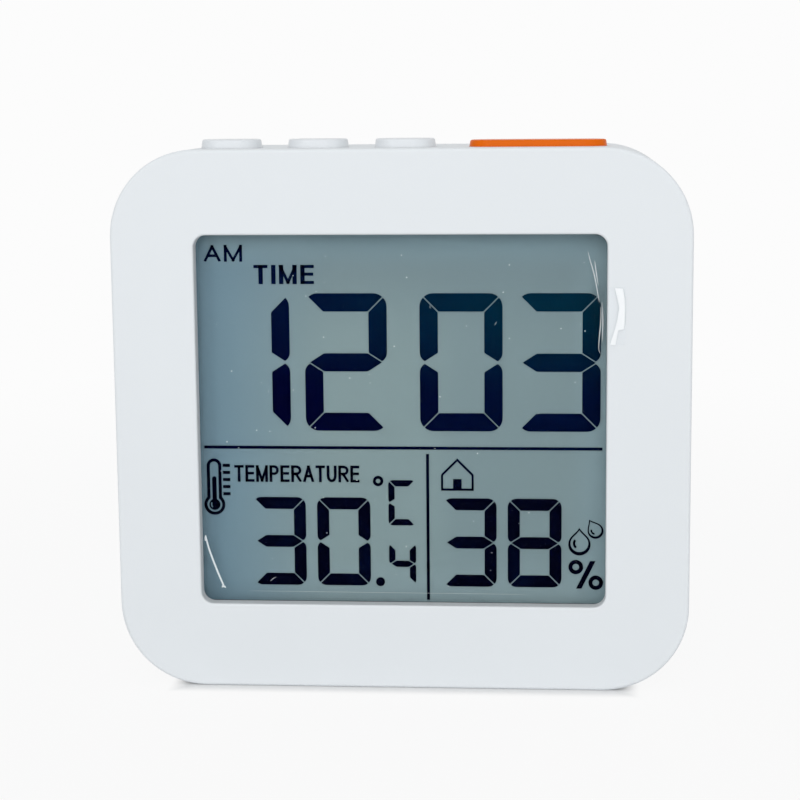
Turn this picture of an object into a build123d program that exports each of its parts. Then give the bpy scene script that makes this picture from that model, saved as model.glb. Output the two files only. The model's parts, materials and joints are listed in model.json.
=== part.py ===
from build123d import *
import os
from math import asin, atan2, cos, degrees, pi, radians, sin, sqrt

# A desk clock that shows the time, the temperature and the humidity on one liquid crystal panel.
# Lengths are in millimetres. The front faces -Y, +X is to the reader's right and +Z is up.
# The origin is on the table, under the middle of the case.

# Case shells
case_width = 80.0
case_height = 75.6
corner_radius = 12.0
wall = 2.0
front_shell_depth = 17.0
front_edge_radius = 0.45
rear_edge_radius = 1.2
seam_chamfer = 0.2
lip_depth = 1.5
lip_thickness = 0.9
lip_clearance = 0.1
overrun = 1.0

# Window in the front shell
bezel_side = 11.6
bezel_top = 11.7
bezel_bottom = 11.95
window_radius = 1.7
window_lip_radius = 0.3

# Lens, film and liquid crystal panel
lens_thickness = 0.8
lens_gap = 0.2
film_thickness = 0.1
film_margin = 0.4
tab_width = 7.9
tab_reach = 2.6
tab_run = 1.6
tab_lift = 0.15
tab_height_share = 0.7861
front_glass_thickness = 0.8
segment_thickness = 0.1
rear_glass_thickness = 0.8
glass_margin = 1.2
seal_width = 0.8
ledge_height = 2.4
guide_thickness = 2.4
guide_gap = 0.2
reflector_thickness = 0.3
holder_wall = 1.0
holder_clearance = 0.2
led_room = 1.3
led_gap = 0.15
led_width = 3.0
led_height = 2.0
led_height_shares = (0.28, 0.72)
strip_gap = 0.2
strip_end_margin = 1.5

# Marks on the panel: strokes in millimetres, the other sizes and the places as shares of the window
bar_gap = 0.17
bar_tip_share = 0.22
corner_share = 0.74
elbow_share = 0.55
time_digit_shares = (0.2032, 0.3730)
time_bar = 2.54
time_shares = ((-0.3792, "1"), (-0.1386, "2"), (0.1454, "0"), (0.3848, "3"))
time_height_share = 0.6525
reading_digit_shares = (0.1329, 0.2447)
reading_bar = 1.69
reading_height_share = 0.159
temperature_shares = ((-0.3111, "3"), (-0.1495, "0"))
humidity_shares = ((0.1650, "3"), (0.3257, "8"))
small_digit_shares = (0.0671, 0.1137)
small_bar = 0.88
tenths_shares = (-0.0031, 0.0982)
unit_letter_height_share = 0.1247
unit_letter_shares = (-0.0037, 0.268)
point_radius_share = 0.0123
point_shares = (-0.0590, 0.0473)
degree_radius_share = 0.0143
degree_stroke = 0.42
degree_shares = (-0.0625, 0.3278)
line_thickness = 0.41
line_height_share = 0.419
line_end_shares = (-0.4963, 0.4917)
divider_share = 0.0609
divider_end_shares = (-0.0011, 0.4029)
symbol_stroke = 0.43
bulb_radius_share = 0.0288
bulb_shares = (-0.4734, 0.2597)
tube_width_share = 0.04
tube_rise_share = 0.1277
column_width_share = 0.0116
column_rise_share = 0.0782
column_bulb_share = 0.0152
tick_count = 5
tick_length_share = 0.0198
tick_pitch_share = 0.0197
tick_offset_share = 0.0241
first_tick_share = 0.0301
drop_radius_share = 0.0301
drop_rise_share = 0.0462
drop_shares = (0.4363, 0.1563)
small_drop_radius_share = 0.0213
small_drop_rise_share = 0.0357
small_drop_lean_degrees = 29.4
small_drop_shares = (0.4759, 0.1941)
drop_inner_share = 0.80
drop_lift_share = 0.1
drop_side_degrees = 22
drop_tip_degrees = 26
gleam_shares = (0.73, 0.47)
gleam_degrees = -38
percent_ring_share = 0.0198
percent_ring_stroke = 0.56
percent_ring_shares = (0.0271, 0.0215)
percent_slash_shares = (0.0187, 0.0383)
percent_slash_width = 0.75
percent_shares = (0.4524, 0.0723)
house_size_share = 0.0886
house_stroke = 0.3
house_shares = (0.1345, 0.3469)
house_eave_share = 0.5
house_door_shares = (0.26, 0.36)

# Circuit boards
board_thickness = 1.2
board_edge_gap = 1.0
board_corner_cut = 7.0
board_boss_inset = 3.6
board_boss_radius = 2.1
board_boss_end_inset = 10.55
component_room = 3.6
chip_radius = 6.5
chip_height = 1.5
chip_shares = (0.0, 0.78)
crystal_radius = 1.0
crystal_length = 6.0
crystal_gap = 0.05
crystal_shares = (0.18, 0.66)
sensor_size = 5.0
sensor_height = 1.3
sensor_port_radius = 0.8
sensor_port_depth = 0.6
chip_part_length = 2.0
chip_part_width = 1.25
chip_part_height = 0.6
chip_part_shares = ((-0.13, 0.66), (-0.13, 0.74), (-0.13, 0.82), (0.13, 0.74), (0.13, 0.82), (0.13, 0.9))

# Screws
screw_clearance = 0.05
pass_clearance = 0.15
recess_width_share = 0.22
recess_length_share = 0.62
recess_depth_share = 0.5
board_screw_radius = 0.9
board_screw_length = 5.0
board_head_radius = 1.7
board_head_height = 1.2
case_boss_inset = 6.0
case_boss_radius = 2.4
case_column_radius = 3.2
case_screw_radius = 1.1
case_screw_length = 11.0
case_head_radius = 2.0
case_head_height = 1.4
case_head_clearance = 0.2
counterbore_depth = 4.0
boss_relief = 0.3

# Keys, their switches and their board
key_length = 8.6
key_breadth = 6.0
key_gap_share = 0.1171
snooze_gap_share = 0.1497
key_proud = 1.2
snooze_proud = 0.93
key_setback = 8.5
key_clearance = 0.15
key_edge_radius = 0.3
key_draft_degrees = 9
key_flange_overhang = 0.9
key_flange_thickness = 1.0
key_seat_gap = 0.1
key_post_radius = 1.6
key_travel = 0.5
key_board_depth = 9.0
key_board_overhang = 2.0
shelf_thickness = 1.0
shelf_reach = 3.0
switch_size = 4.5
switch_height = 2.0
plunger_radius = 1.2
plunger_proud = 0.7
plunger_depth = 0.9
plunger_clearance = 0.05
pin_count = 6
pin_pitch = 2.0
pin_width = 0.6
pin_overlap = 4.0
pin_clearance = 0.05

# Battery bay, cells and contacts
bay_base = 15.0
bay_wall = 1.4
bay_floor = 1.2
cell_diameter = 10.5
cell_length = 44.5
cell_gap = 0.8
cell_clearance = 0.3
cell_edge_radius = 0.4
cell_slack = 0.2
nub_radius = 1.9
nub_height = 1.0
contact_thickness = 0.4
contact_size = 8.0
contact_clearance = 0.1
tail_width = 2.0
tail_reach = 1.8
spring_length = 4.4
spring_wire = 0.5
spring_large_radius = 3.5
spring_small_radius = 2.2
spring_turns = 3.5
spring_end_gap = 0.08

# Battery cover
cover_thickness = 1.6
cover_clearance = 0.2
cover_corner_radius = 1.5
cover_edge_chamfer = 0.3
hook_spread = 30.0
hook_width = 6.0
hook_thickness = 1.1
hook_rise = 1.2
hook_lift = 0.15
hook_reach = 1.5
hook_gap = 0.3
hook_side_clearance = 0.3
hook_swing_room = 1.0
notch_radius = 6.0
notch_depth = 1.0
grip_count = 3
grip_length = 12.0
grip_width = 0.8
grip_pitch = 1.8
grip_depth = 0.4
grip_inset = 2.6

# Buzzer, air slots and sound holes
buzzer_radius = 9.0
buzzer_thickness = 0.25
ceramic_radius = 6.5
ceramic_thickness = 0.2
seat_width = 1.2
seat_height = 1.5
rear_fitting_share = 0.25
sound_hole_radius = 0.8
sound_hole_circle = 4.5
sound_hole_count = 6
slot_count = 6
slot_width = 1.2
slot_length = 9.0
slot_pitch = 2.8

# Wires
wire_radius = 0.5
wire_bend = 1.6
wire_end_run = 3.0
battery_wire_shift = 2.0
battery_wire_rise = 5.0
buzzer_wire_shift = 4.0
buzzer_wire_drop = 5.0
buzzer_wire_spacing = 3.0

# Depths along Y, worked out from the front
case_depth = (
    wall
    + lens_thickness
    + lens_gap
    + front_glass_thickness
    + segment_thickness
    + rear_glass_thickness
    + guide_thickness
    + reflector_thickness
    + board_thickness
    + component_room
    + bay_floor
    + 2 * cell_clearance
    + cell_diameter
    + cover_thickness
)
front_y = -case_depth / 2
rear_y = case_depth / 2
seam_y = front_y + front_shell_depth
lens_y = front_y + wall
front_glass_y = lens_y + lens_thickness + lens_gap
segment_y = front_glass_y + front_glass_thickness
rear_glass_y = segment_y + segment_thickness
guide_y = rear_glass_y + rear_glass_thickness
reflector_y = guide_y + guide_thickness
board_y = reflector_y + reflector_thickness
board_rear_y = board_y + board_thickness
bay_y = board_rear_y + component_room
bay_floor_y = bay_y + bay_floor
cell_y = bay_floor_y + cell_clearance + cell_diameter / 2
cover_y = rear_y - cover_thickness
rear_wall_y = rear_y - wall
key_y = front_y + key_setback

# Widths and heights, worked out from the case and the window
middle = (0, case_height / 2)
window_width = case_width - 2 * bezel_side
window_height = case_height - bezel_top - bezel_bottom
window_middle = (0, bezel_bottom + window_height / 2)
glass_width = window_width + 2 * glass_margin
glass_top = bezel_bottom + window_height + glass_margin
rear_glass_base = bezel_bottom - glass_margin
front_glass_base = rear_glass_base - ledge_height
holder_inner_width = glass_width + 2 * holder_clearance
holder_inner_base = front_glass_base - holder_clearance
holder_inner_top = glass_top + holder_clearance
holder_base = holder_inner_base - holder_wall
holder_top = holder_inner_top + holder_wall
board_width = case_width - 2 * wall - 2 * board_edge_gap
board_height = holder_top - holder_base
board_middle = (0, (holder_top + holder_base) / 2)
board_boss_x = case_width / 2 - wall - board_boss_inset
case_boss_x = case_width / 2 - case_boss_inset
case_boss_heights = (case_boss_inset, case_height - case_boss_inset)
case_boss_places = [(x, z) for x in (-case_boss_x, case_boss_x) for z in case_boss_heights]
board_boss_places = [
    (x, board_middle[1] + half)
    for x in (-board_boss_x, board_boss_x)
    for half in (board_boss_end_inset - board_height / 2, board_height / 2 - board_boss_end_inset)
]
bay_length = cell_length + spring_length + 2 * contact_thickness + cell_slack
bay_height = 2 * cell_diameter + cell_gap + 2 * cell_clearance
bay_middle = (0, bay_base + bay_height / 2)
lower_cell_z = bay_base + cell_clearance + cell_diameter / 2
upper_cell_z = lower_cell_z + cell_diameter + cell_gap
rebate_width = bay_length + 2 * bay_wall
rebate_height = bay_height + 2 * bay_wall
cover_width = rebate_width - 2 * cover_clearance
cover_height = rebate_height - 2 * cover_clearance
cover_base = bay_middle[1] - cover_height / 2
cover_top = bay_middle[1] + cover_height / 2
rear_fitting_z = (bay_middle[1] + rebate_height / 2 + case_height - wall) / 2
rear_fitting_x = case_width * rear_fitting_share

# Heights of the key stack, from the display holder up
key_board_base = holder_top + holder_clearance + shelf_thickness
key_board_top = key_board_base + board_thickness
switch_top = key_board_top + switch_height
plunger_top = switch_top + plunger_proud
flange_top = case_height - wall - key_seat_gap
flange_base = flange_top - key_flange_thickness
white_keys = ("mode", "up", "down")
key_row_spare = window_width - len(white_keys) * key_length
key_pitch = key_length + key_gap_share * key_row_spare
white_key_x = [(key_length - window_width) / 2 + i * key_pitch for i in range(len(white_keys))]
snooze_left = white_key_x[-1] + key_length / 2 + snooze_gap_share * key_row_spare
snooze_length = window_width / 2 - snooze_left
snooze_x = snooze_left + snooze_length / 2
keys = [(name, x, key_length, key_proud) for name, x in zip(white_keys, white_key_x)]
keys.append(("snooze", snooze_x, snooze_length, snooze_proud))
key_board_length = window_width + 2 * key_board_overhang

os.makedirs("parts", exist_ok=True)


def keep(piece, name):
    piece.part.label = name
    export_step(piece.part, f"parts/{name}.step")


def depth_plane(y):
    # Upright plane at a depth: its x is X, its y is Z, and it faces the reader
    return Plane.XZ.offset(-y)


def on_window(shares):
    return (shares[0] * window_width, bezel_bottom + shares[1] * window_height)


def mark_size(share):
    # A mark's size, from its share of the window's height
    return share * window_height


def digit_size(shares):
    return (shares[0] * window_width, shares[1] * window_height)


def on_board(shares):
    return (shares[0] * board_width, holder_base + shares[1] * board_height)


# Front shell: bezel, window, key holes, bosses and shelves for the key board
with BuildPart() as front_case:
    with BuildSketch(depth_plane(seam_y)):
        with Locations(middle):
            RectangleRounded(case_width, case_height, corner_radius)
    extrude(amount=front_shell_depth)
    fillet(front_case.faces().sort_by(Axis.Y)[0].edges(), front_edge_radius)
    chamfer(front_case.faces().sort_by(Axis.Y)[-1].edges(), seam_chamfer)
    with BuildSketch(depth_plane(seam_y)):
        with Locations(middle):
            RectangleRounded(case_width - 2 * wall, case_height - 2 * wall, corner_radius - wall)
    extrude(amount=front_shell_depth - wall, mode=Mode.SUBTRACT)
    with BuildSketch(depth_plane(lens_y)):
        with Locations(window_middle):
            RectangleRounded(window_width, window_height, window_radius)
    extrude(amount=wall + overrun, mode=Mode.SUBTRACT)
    bezel = front_case.faces().sort_by(Axis.Y)[0]
    fillet(bezel.inner_wires()[0].edges(), window_lip_radius)
    with BuildSketch(Plane.XY.offset(case_height + overrun)):
        for name, x, length, proud in keys:
            with Locations((x, key_y)):
                SlotOverall(length + 2 * key_clearance, key_breadth + 2 * key_clearance)
    extrude(amount=-wall - 2 * overrun, mode=Mode.SUBTRACT)
    with BuildSketch(depth_plane(lens_y)):
        with Locations(*case_boss_places):
            Circle(case_boss_radius)
    extrude(amount=-(seam_y - lens_y))
    with BuildSketch(depth_plane(lens_y)):
        with Locations(*board_boss_places):
            Circle(board_boss_radius)
    extrude(amount=-(board_y - lens_y))
    with BuildSketch(depth_plane(seam_y)):
        with Locations(*case_boss_places):
            Circle(case_screw_radius + screw_clearance)
    extrude(amount=case_screw_length, mode=Mode.SUBTRACT)
    with BuildSketch(depth_plane(board_y)):
        with Locations(*board_boss_places):
            Circle(board_screw_radius + screw_clearance)
    extrude(amount=board_screw_length, mode=Mode.SUBTRACT)
    shelf_start = key_board_length / 2 - shelf_reach
    shelf_length = case_width / 2 - wall - shelf_start
    shelf_depth = key_y + key_board_depth / 2 - lens_y
    shelf_x = shelf_start + shelf_length / 2
    with BuildSketch(Plane.XY.offset(key_board_base)):
        with Locations(*[(side * shelf_x, lens_y + shelf_depth / 2) for side in (-1, 1)]):
            Rectangle(shelf_length, shelf_depth)
    extrude(amount=-shelf_thickness)
keep(front_case, "front_case")

# Rear shell: back wall, locating lip, screw columns, battery bay, air slots, sound holes and buzzer seat
hook_places = [-hook_spread / 2, hook_spread / 2]
tail_heights = [lower_cell_z, upper_cell_z]
with BuildPart() as rear_case:
    with BuildSketch(depth_plane(seam_y)):
        with Locations(middle):
            RectangleRounded(case_width, case_height, corner_radius)
    extrude(amount=-(rear_y - seam_y))
    fillet(rear_case.faces().sort_by(Axis.Y)[-1].edges(), rear_edge_radius)
    chamfer(rear_case.faces().sort_by(Axis.Y)[0].edges(), seam_chamfer)
    with BuildSketch(depth_plane(seam_y)):
        with Locations(middle):
            RectangleRounded(case_width - 2 * wall, case_height - 2 * wall, corner_radius - wall)
    extrude(amount=-(rear_wall_y - seam_y), mode=Mode.SUBTRACT)
    lip_inset = wall + lip_clearance
    lip_inner = lip_inset + lip_thickness
    with BuildSketch(depth_plane(seam_y + wall)):
        with Locations(middle):
            lip_size = (case_width - 2 * lip_inset, case_height - 2 * lip_inset)
            RectangleRounded(*lip_size, corner_radius - lip_inset)
            inner_size = (case_width - 2 * lip_inner, case_height - 2 * lip_inner)
            RectangleRounded(*inner_size, corner_radius - lip_inner, mode=Mode.SUBTRACT)
    extrude(amount=wall + lip_depth)
    with BuildSketch(depth_plane(seam_y)):
        with Locations(middle):
            outer_size = (case_width - 2 * wall, case_height - 2 * wall)
            RectangleRounded(*outer_size, corner_radius - wall)
            RectangleRounded(*inner_size, corner_radius - lip_inner, mode=Mode.SUBTRACT)
    extrude(amount=-wall)
    with BuildSketch(depth_plane(seam_y)):
        with Locations(*case_boss_places):
            Circle(case_boss_radius + boss_relief)
    extrude(amount=lip_depth + overrun, mode=Mode.SUBTRACT)
    with BuildSketch(depth_plane(seam_y)):
        with Locations(*case_boss_places):
            Circle(case_column_radius)
    extrude(amount=-(rear_wall_y - seam_y))
    with BuildSketch(depth_plane(rear_y)):
        with Locations(*case_boss_places):
            Circle(case_head_radius + case_head_clearance)
    extrude(amount=counterbore_depth, mode=Mode.SUBTRACT)
    with BuildSketch(depth_plane(rear_y)):
        with Locations(*case_boss_places):
            Circle(case_screw_radius + pass_clearance)
    extrude(amount=rear_y - seam_y + overrun, mode=Mode.SUBTRACT)
    with BuildSketch(depth_plane(bay_y)):
        with Locations(bay_middle):
            Rectangle(rebate_width, rebate_height)
    extrude(amount=-(rear_wall_y - bay_y))
    with BuildSketch(depth_plane(bay_floor_y)):
        with Locations(bay_middle):
            Rectangle(bay_length, bay_height)
    extrude(amount=-(rear_y - bay_floor_y + overrun), mode=Mode.SUBTRACT)
    with BuildSketch(depth_plane(cover_y)):
        with Locations(bay_middle):
            RectangleRounded(rebate_width, rebate_height, cover_corner_radius)
    extrude(amount=-(cover_thickness + overrun), mode=Mode.SUBTRACT)
    hook_slot_depth = wall - cover_thickness + hook_gap + hook_thickness + hook_swing_room
    with BuildSketch(depth_plane(cover_y)):
        with Locations(*[(x, bay_base - bay_wall / 2) for x in hook_places]):
            Rectangle(hook_width + 2 * hook_side_clearance, bay_wall)
    extrude(amount=hook_slot_depth, mode=Mode.SUBTRACT)
    with BuildSketch(Plane.YZ.offset(bay_length / 2)):
        with Locations(*[(cell_y, z) for z in tail_heights]):
            Rectangle(contact_thickness + 2 * contact_clearance, tail_width + 2 * contact_clearance)
    extrude(amount=bay_wall, mode=Mode.SUBTRACT)
    with BuildSketch(depth_plane(rear_y)):
        with Locations((0, cover_top)):
            Circle(notch_radius)
    extrude(amount=notch_depth, mode=Mode.SUBTRACT)
    with BuildSketch(depth_plane(rear_y + overrun)):
        with Locations((rear_fitting_x, rear_fitting_z)):
            with GridLocations(slot_pitch, 0, slot_count, 1):
                SlotOverall(slot_length, slot_width, rotation=90)
        with Locations((-rear_fitting_x, rear_fitting_z)):
            Circle(sound_hole_radius)
            with PolarLocations(sound_hole_circle, sound_hole_count):
                Circle(sound_hole_radius)
    extrude(amount=wall + 2 * overrun, mode=Mode.SUBTRACT)
    with BuildSketch(depth_plane(rear_wall_y)):
        with Locations((-rear_fitting_x, rear_fitting_z)):
            Circle(buzzer_radius)
            Circle(buzzer_radius - seat_width, mode=Mode.SUBTRACT)
    extrude(amount=seat_height)
keep(rear_case, "rear_case")


# Flat plates of the display, from the lens back to the reflector
def flat_plate(width, base, top, y, thickness):
    with BuildPart() as plate:
        with BuildSketch(depth_plane(y)):
            with Locations((0, (base + top) / 2)):
                Rectangle(width, top - base)
        extrude(amount=-thickness)
    return plate


window_lens = flat_plate(glass_width, front_glass_base, glass_top, lens_y, lens_thickness)
keep(window_lens, "window_lens")
lcd_front_glass = flat_plate(glass_width, front_glass_base, glass_top, front_glass_y, front_glass_thickness)
keep(lcd_front_glass, "lcd_front_glass")
lcd_rear_glass = flat_plate(glass_width, rear_glass_base, glass_top, rear_glass_y, rear_glass_thickness)
keep(lcd_rear_glass, "lcd_rear_glass")
guide_width = holder_inner_width - 2 * led_room
guide_base = rear_glass_base + guide_gap
guide_top = holder_inner_top - guide_gap
light_guide = flat_plate(guide_width, guide_base, guide_top, guide_y, guide_thickness)
keep(light_guide, "light_guide")
light_reflector = flat_plate(guide_width, guide_base, guide_top, reflector_y, reflector_thickness)
keep(light_reflector, "light_reflector")
strip_base = front_glass_base + strip_gap
strip_top = rear_glass_base - strip_gap
strip_width = glass_width - 2 * strip_end_margin
contact_strip = flat_plate(strip_width, strip_base, strip_top, segment_y, board_y - segment_y)
keep(contact_strip, "contact_strip")


# Rectangular frames: the glue seal between the two glasses, and the holder round the display
def flat_frame(inner_width, inner_base, inner_top, rim, y, thickness):
    with BuildPart() as frame:
        with BuildSketch(depth_plane(y)):
            with Locations((0, (inner_base + inner_top) / 2)):
                Rectangle(inner_width + 2 * rim, inner_top - inner_base + 2 * rim)
                Rectangle(inner_width, inner_top - inner_base, mode=Mode.SUBTRACT)
        extrude(amount=-thickness)
    return frame


seal_inner = (glass_width - 2 * seal_width, rear_glass_base + seal_width, glass_top - seal_width)
lcd_seal = flat_frame(*seal_inner, seal_width, segment_y, segment_thickness)
keep(lcd_seal, "lcd_seal")
holder_inner = (holder_inner_width, holder_inner_base, holder_inner_top)
display_holder = flat_frame(*holder_inner, holder_wall, lens_y, board_y - lens_y)
keep(display_holder, "display_holder")

# Protective film on the lens, with a pull tab that climbs over the window's edge
film_half = window_width / 2 - film_margin
tab_z = bezel_bottom + tab_height_share * window_height
tab_outside = front_y - tab_lift
with BuildPart() as screen_film:
    with BuildSketch(depth_plane(lens_y)):
        with Locations(window_middle):
            film_size = (2 * film_half, window_height - 2 * film_margin)
            RectangleRounded(*film_size, window_radius - film_margin)
    extrude(amount=film_thickness)
    with BuildSketch(Plane.XY.offset(tab_z - tab_width / 2)):
        with BuildLine():
            Polyline(
                (film_half - tab_run - film_thickness, lens_y),
                (film_half - film_thickness, tab_outside - film_thickness),
                (window_width / 2 + tab_reach, tab_outside - film_thickness),
                (window_width / 2 + tab_reach, tab_outside),
                (film_half, tab_outside),
                (film_half - tab_run, lens_y),
                close=True,
            )
        make_face()
    extrude(amount=tab_width)
keep(screen_film, "screen_film")

# Seven-bar figures: the bars are mitred where they meet, and the two loops have rounded outer corners
lit_bars = {"0": "abcdef", "1": "bc", "2": "abged", "3": "abgcd", "4": "fgbc", "8": "abcdefg", "C": "afed"}


def bar_face(bar_name, width, height, bar):
    across = -1 if bar_name in "ef" else 1
    upward = -1 if bar_name in "cde" else 1
    half_width = width / 2
    half_height = height / 2
    corner_radius = corner_share * bar
    elbow_radius = elbow_share * bar
    bevel = bar_gap / sqrt(2)
    lag = degrees(asin(bar_gap / 2 / corner_radius))
    corner = Vector(half_width - corner_radius, half_height - corner_radius)
    elbow = Vector(half_width - elbow_radius, elbow_radius)
    nook = Vector(half_width - bar, bar / 2)
    run = (Vector(half_width - bar_tip_share * bar, 0) - nook).normalized()
    side = Vector(-run.Y, run.X)

    def at(point):
        return (across * point.X, upward * point.Y)

    def on_arc(centre, angle, radius=corner_radius):
        return centre + Vector(cos(radians(angle)), sin(radians(angle))) * radius

    def arc_points(centre, first, last, radius=corner_radius):
        return [at(on_arc(centre, angle, radius)) for angle in (first, (first + last) / 2, last)]

    with BuildSketch() as face:
        with BuildLine():
            if bar_name in "ad":
                right_end = on_arc(corner, 45 + lag)
                left_end = Vector(-right_end.X, right_end.Y)
                left_centre = Vector(-corner.X, corner.Y)
                inner = Vector(half_width - bar - bevel, half_height - bar)
                Polyline(at(left_end), at(Vector(-inner.X, inner.Y)), at(inner), at(right_end))
                ThreePointArc(*arc_points(corner, 45 + lag, 90))
                Line(at(on_arc(corner, 90)), at(on_arc(left_centre, 90)))
                ThreePointArc(*arc_points(left_centre, 90, 135 - lag))
            elif bar_name == "g":
                start = nook - side * (bar_gap / 2)
                flat_end = start + run * ((bar / 2 - start.Y) / run.Y)
                tip = start - run * (start.Y / run.Y)
                right = [(flat_end.X, -bar / 2), (tip.X, 0), (flat_end.X, bar / 2)]
                left = [(-x, -z) for x, z in right]
                Polyline(*right, *left, close=True)
            else:
                start = nook + side * (bar_gap / 2)
                inner = start + run * ((nook.X - start.X) / run.X)
                top_inner = Vector(half_width - bar, half_height - bar - bevel)
                reach = start - elbow
                along = reach.dot(run)
                outer = start + run * (sqrt(along**2 - reach.dot(reach) + elbow_radius**2) - along)
                tip_angle = degrees(atan2(outer.Y - elbow.Y, outer.X - elbow.X))
                Polyline(at(outer), at(inner), at(top_inner), at(on_arc(corner, 45 - lag)))
                ThreePointArc(*arc_points(corner, 45 - lag, 0))
                Line(at(on_arc(corner, 0)), at(on_arc(elbow, 0, elbow_radius)))
                ThreePointArc(*arc_points(elbow, 0, tip_angle, elbow_radius))
        make_face()
    return face.sketch


def figure(character, width, height, bar):
    bars = [bar_face(bar_name, width, height, bar) for bar_name in lit_bars[character]]
    with BuildSketch() as drawn:
        add(bars)
    return drawn.sketch


def figures(places, height_share, width, height, bar):
    return [(figure(mark, width, height, bar), on_window((share, height_share))) for share, mark in places]


time_figures = figures(time_shares, time_height_share, *digit_size(time_digit_shares), time_bar)
reading_size = (reading_height_share, *digit_size(reading_digit_shares), reading_bar)
temperature_figures = figures(temperature_shares, *reading_size)
humidity_figures = figures(humidity_shares, *reading_size)
small_width, small_height = digit_size(small_digit_shares)
unit_letter_height = mark_size(unit_letter_height_share)
small_figures = [
    (figure("4", small_width, small_height, small_bar), on_window(tenths_shares)),
    (figure("C", small_width, unit_letter_height, small_bar), on_window(unit_letter_shares)),
]

with BuildPart() as time_digits:
    with BuildSketch(depth_plane(segment_y)):
        for drawn, place in time_figures:
            with Locations(place):
                add(drawn)
    extrude(amount=-segment_thickness)
keep(time_digits, "time_digits")

with BuildPart() as temperature_digits:
    with BuildSketch(depth_plane(segment_y)):
        for drawn, place in temperature_figures + small_figures:
            with Locations(place):
                add(drawn)
        with Locations(on_window(point_shares)):
            Circle(mark_size(point_radius_share))
        with Locations(on_window(degree_shares)):
            Circle(mark_size(degree_radius_share))
            Circle(mark_size(degree_radius_share) - degree_stroke, mode=Mode.SUBTRACT)
    extrude(amount=-segment_thickness)
keep(temperature_digits, "temperature_digits")

with BuildPart() as humidity_digits:
    with BuildSketch(depth_plane(segment_y)):
        for drawn, place in humidity_figures:
            with Locations(place):
                add(drawn)
    extrude(amount=-segment_thickness)
keep(humidity_digits, "humidity_digits")

# Lines that part the display into three fields
with BuildPart() as display_lines:
    line_left = on_window((line_end_shares[0], line_height_share))
    line_right = on_window((line_end_shares[1], line_height_share))
    divider_low = on_window((divider_share, divider_end_shares[0]))
    divider_high = on_window((divider_share, divider_end_shares[1]))
    with BuildSketch(depth_plane(segment_y)):
        with Locations(((line_left[0] + line_right[0]) / 2, line_left[1])):
            Rectangle(line_right[0] - line_left[0], line_thickness)
        with Locations((divider_low[0], (divider_low[1] + divider_high[1]) / 2)):
            Rectangle(line_thickness, divider_high[1] - divider_low[1])
    extrude(amount=-segment_thickness)
keep(display_lines, "display_lines")


# Symbols on the display: thermometer, drops, per cent sign and a plain house for the indoor reading
def drop_outline(radius, rise):
    # Hollow sides run from a slender tip into a round base
    side, tip = radians(drop_side_degrees), radians(drop_tip_degrees)
    right = (radius * cos(side), radius * sin(side))
    left = (-right[0], right[1])
    with BuildSketch() as outline:
        with BuildLine():
            Spline((0, rise), right, tangents=((sin(tip), -cos(tip)), (sin(side), -cos(side))))
            ThreePointArc(right, (0, -radius), left)
            Spline(left, (0, rise), tangents=((sin(side), cos(side)), (sin(tip), cos(tip))))
        make_face()
    return outline.sketch


def gleam_arc(radius):
    # A short arc at the left of a round mark
    outer, inner = [share * radius for share in gleam_shares]
    with BuildSketch() as gleam:
        Circle(outer)
        Circle(inner, mode=Mode.SUBTRACT)
        Rectangle(outer, outer, align=(Align.MAX, Align.MAX), mode=Mode.INTERSECT)
    return gleam.sketch


def water_drop(radius, rise):
    # The inner outline sits higher than the outer one, so the stroke swells towards the base
    outer = drop_outline(radius, rise)
    inner = drop_outline(drop_inner_share * radius, drop_inner_share * rise)
    gleam = gleam_arc(drop_inner_share * radius)
    with BuildSketch() as drop:
        add(outer)
        with Locations((0, drop_lift_share * radius)):
            add(inner, mode=Mode.SUBTRACT)
            add(gleam, rotation=gleam_degrees)
    return drop.sketch


large_drop = water_drop(mark_size(drop_radius_share), mark_size(drop_rise_share))
small_drop = water_drop(mark_size(small_drop_radius_share), mark_size(small_drop_rise_share))
bulb_radius = mark_size(bulb_radius_share)
tube_width = mark_size(tube_width_share)
tube_rise = mark_size(tube_rise_share)
bore_width = tube_width - 2 * symbol_stroke
bore_rise = tube_rise - symbol_stroke
column_rise = mark_size(column_rise_share)
column_bulb_radius = mark_size(column_bulb_share)
column_gleam = gleam_arc(column_bulb_radius)
tick_length = mark_size(tick_length_share)
tick_pitch = mark_size(tick_pitch_share)
tick_x = mark_size(tick_offset_share) + tick_length / 2
tick_z = mark_size(first_tick_share) + tick_pitch * (tick_count - 1) / 2
ring_radius = mark_size(percent_ring_share)
ring_across, ring_up = [mark_size(share) for share in percent_ring_shares]
slash_across, slash_up = [mark_size(share) for share in percent_slash_shares]

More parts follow.
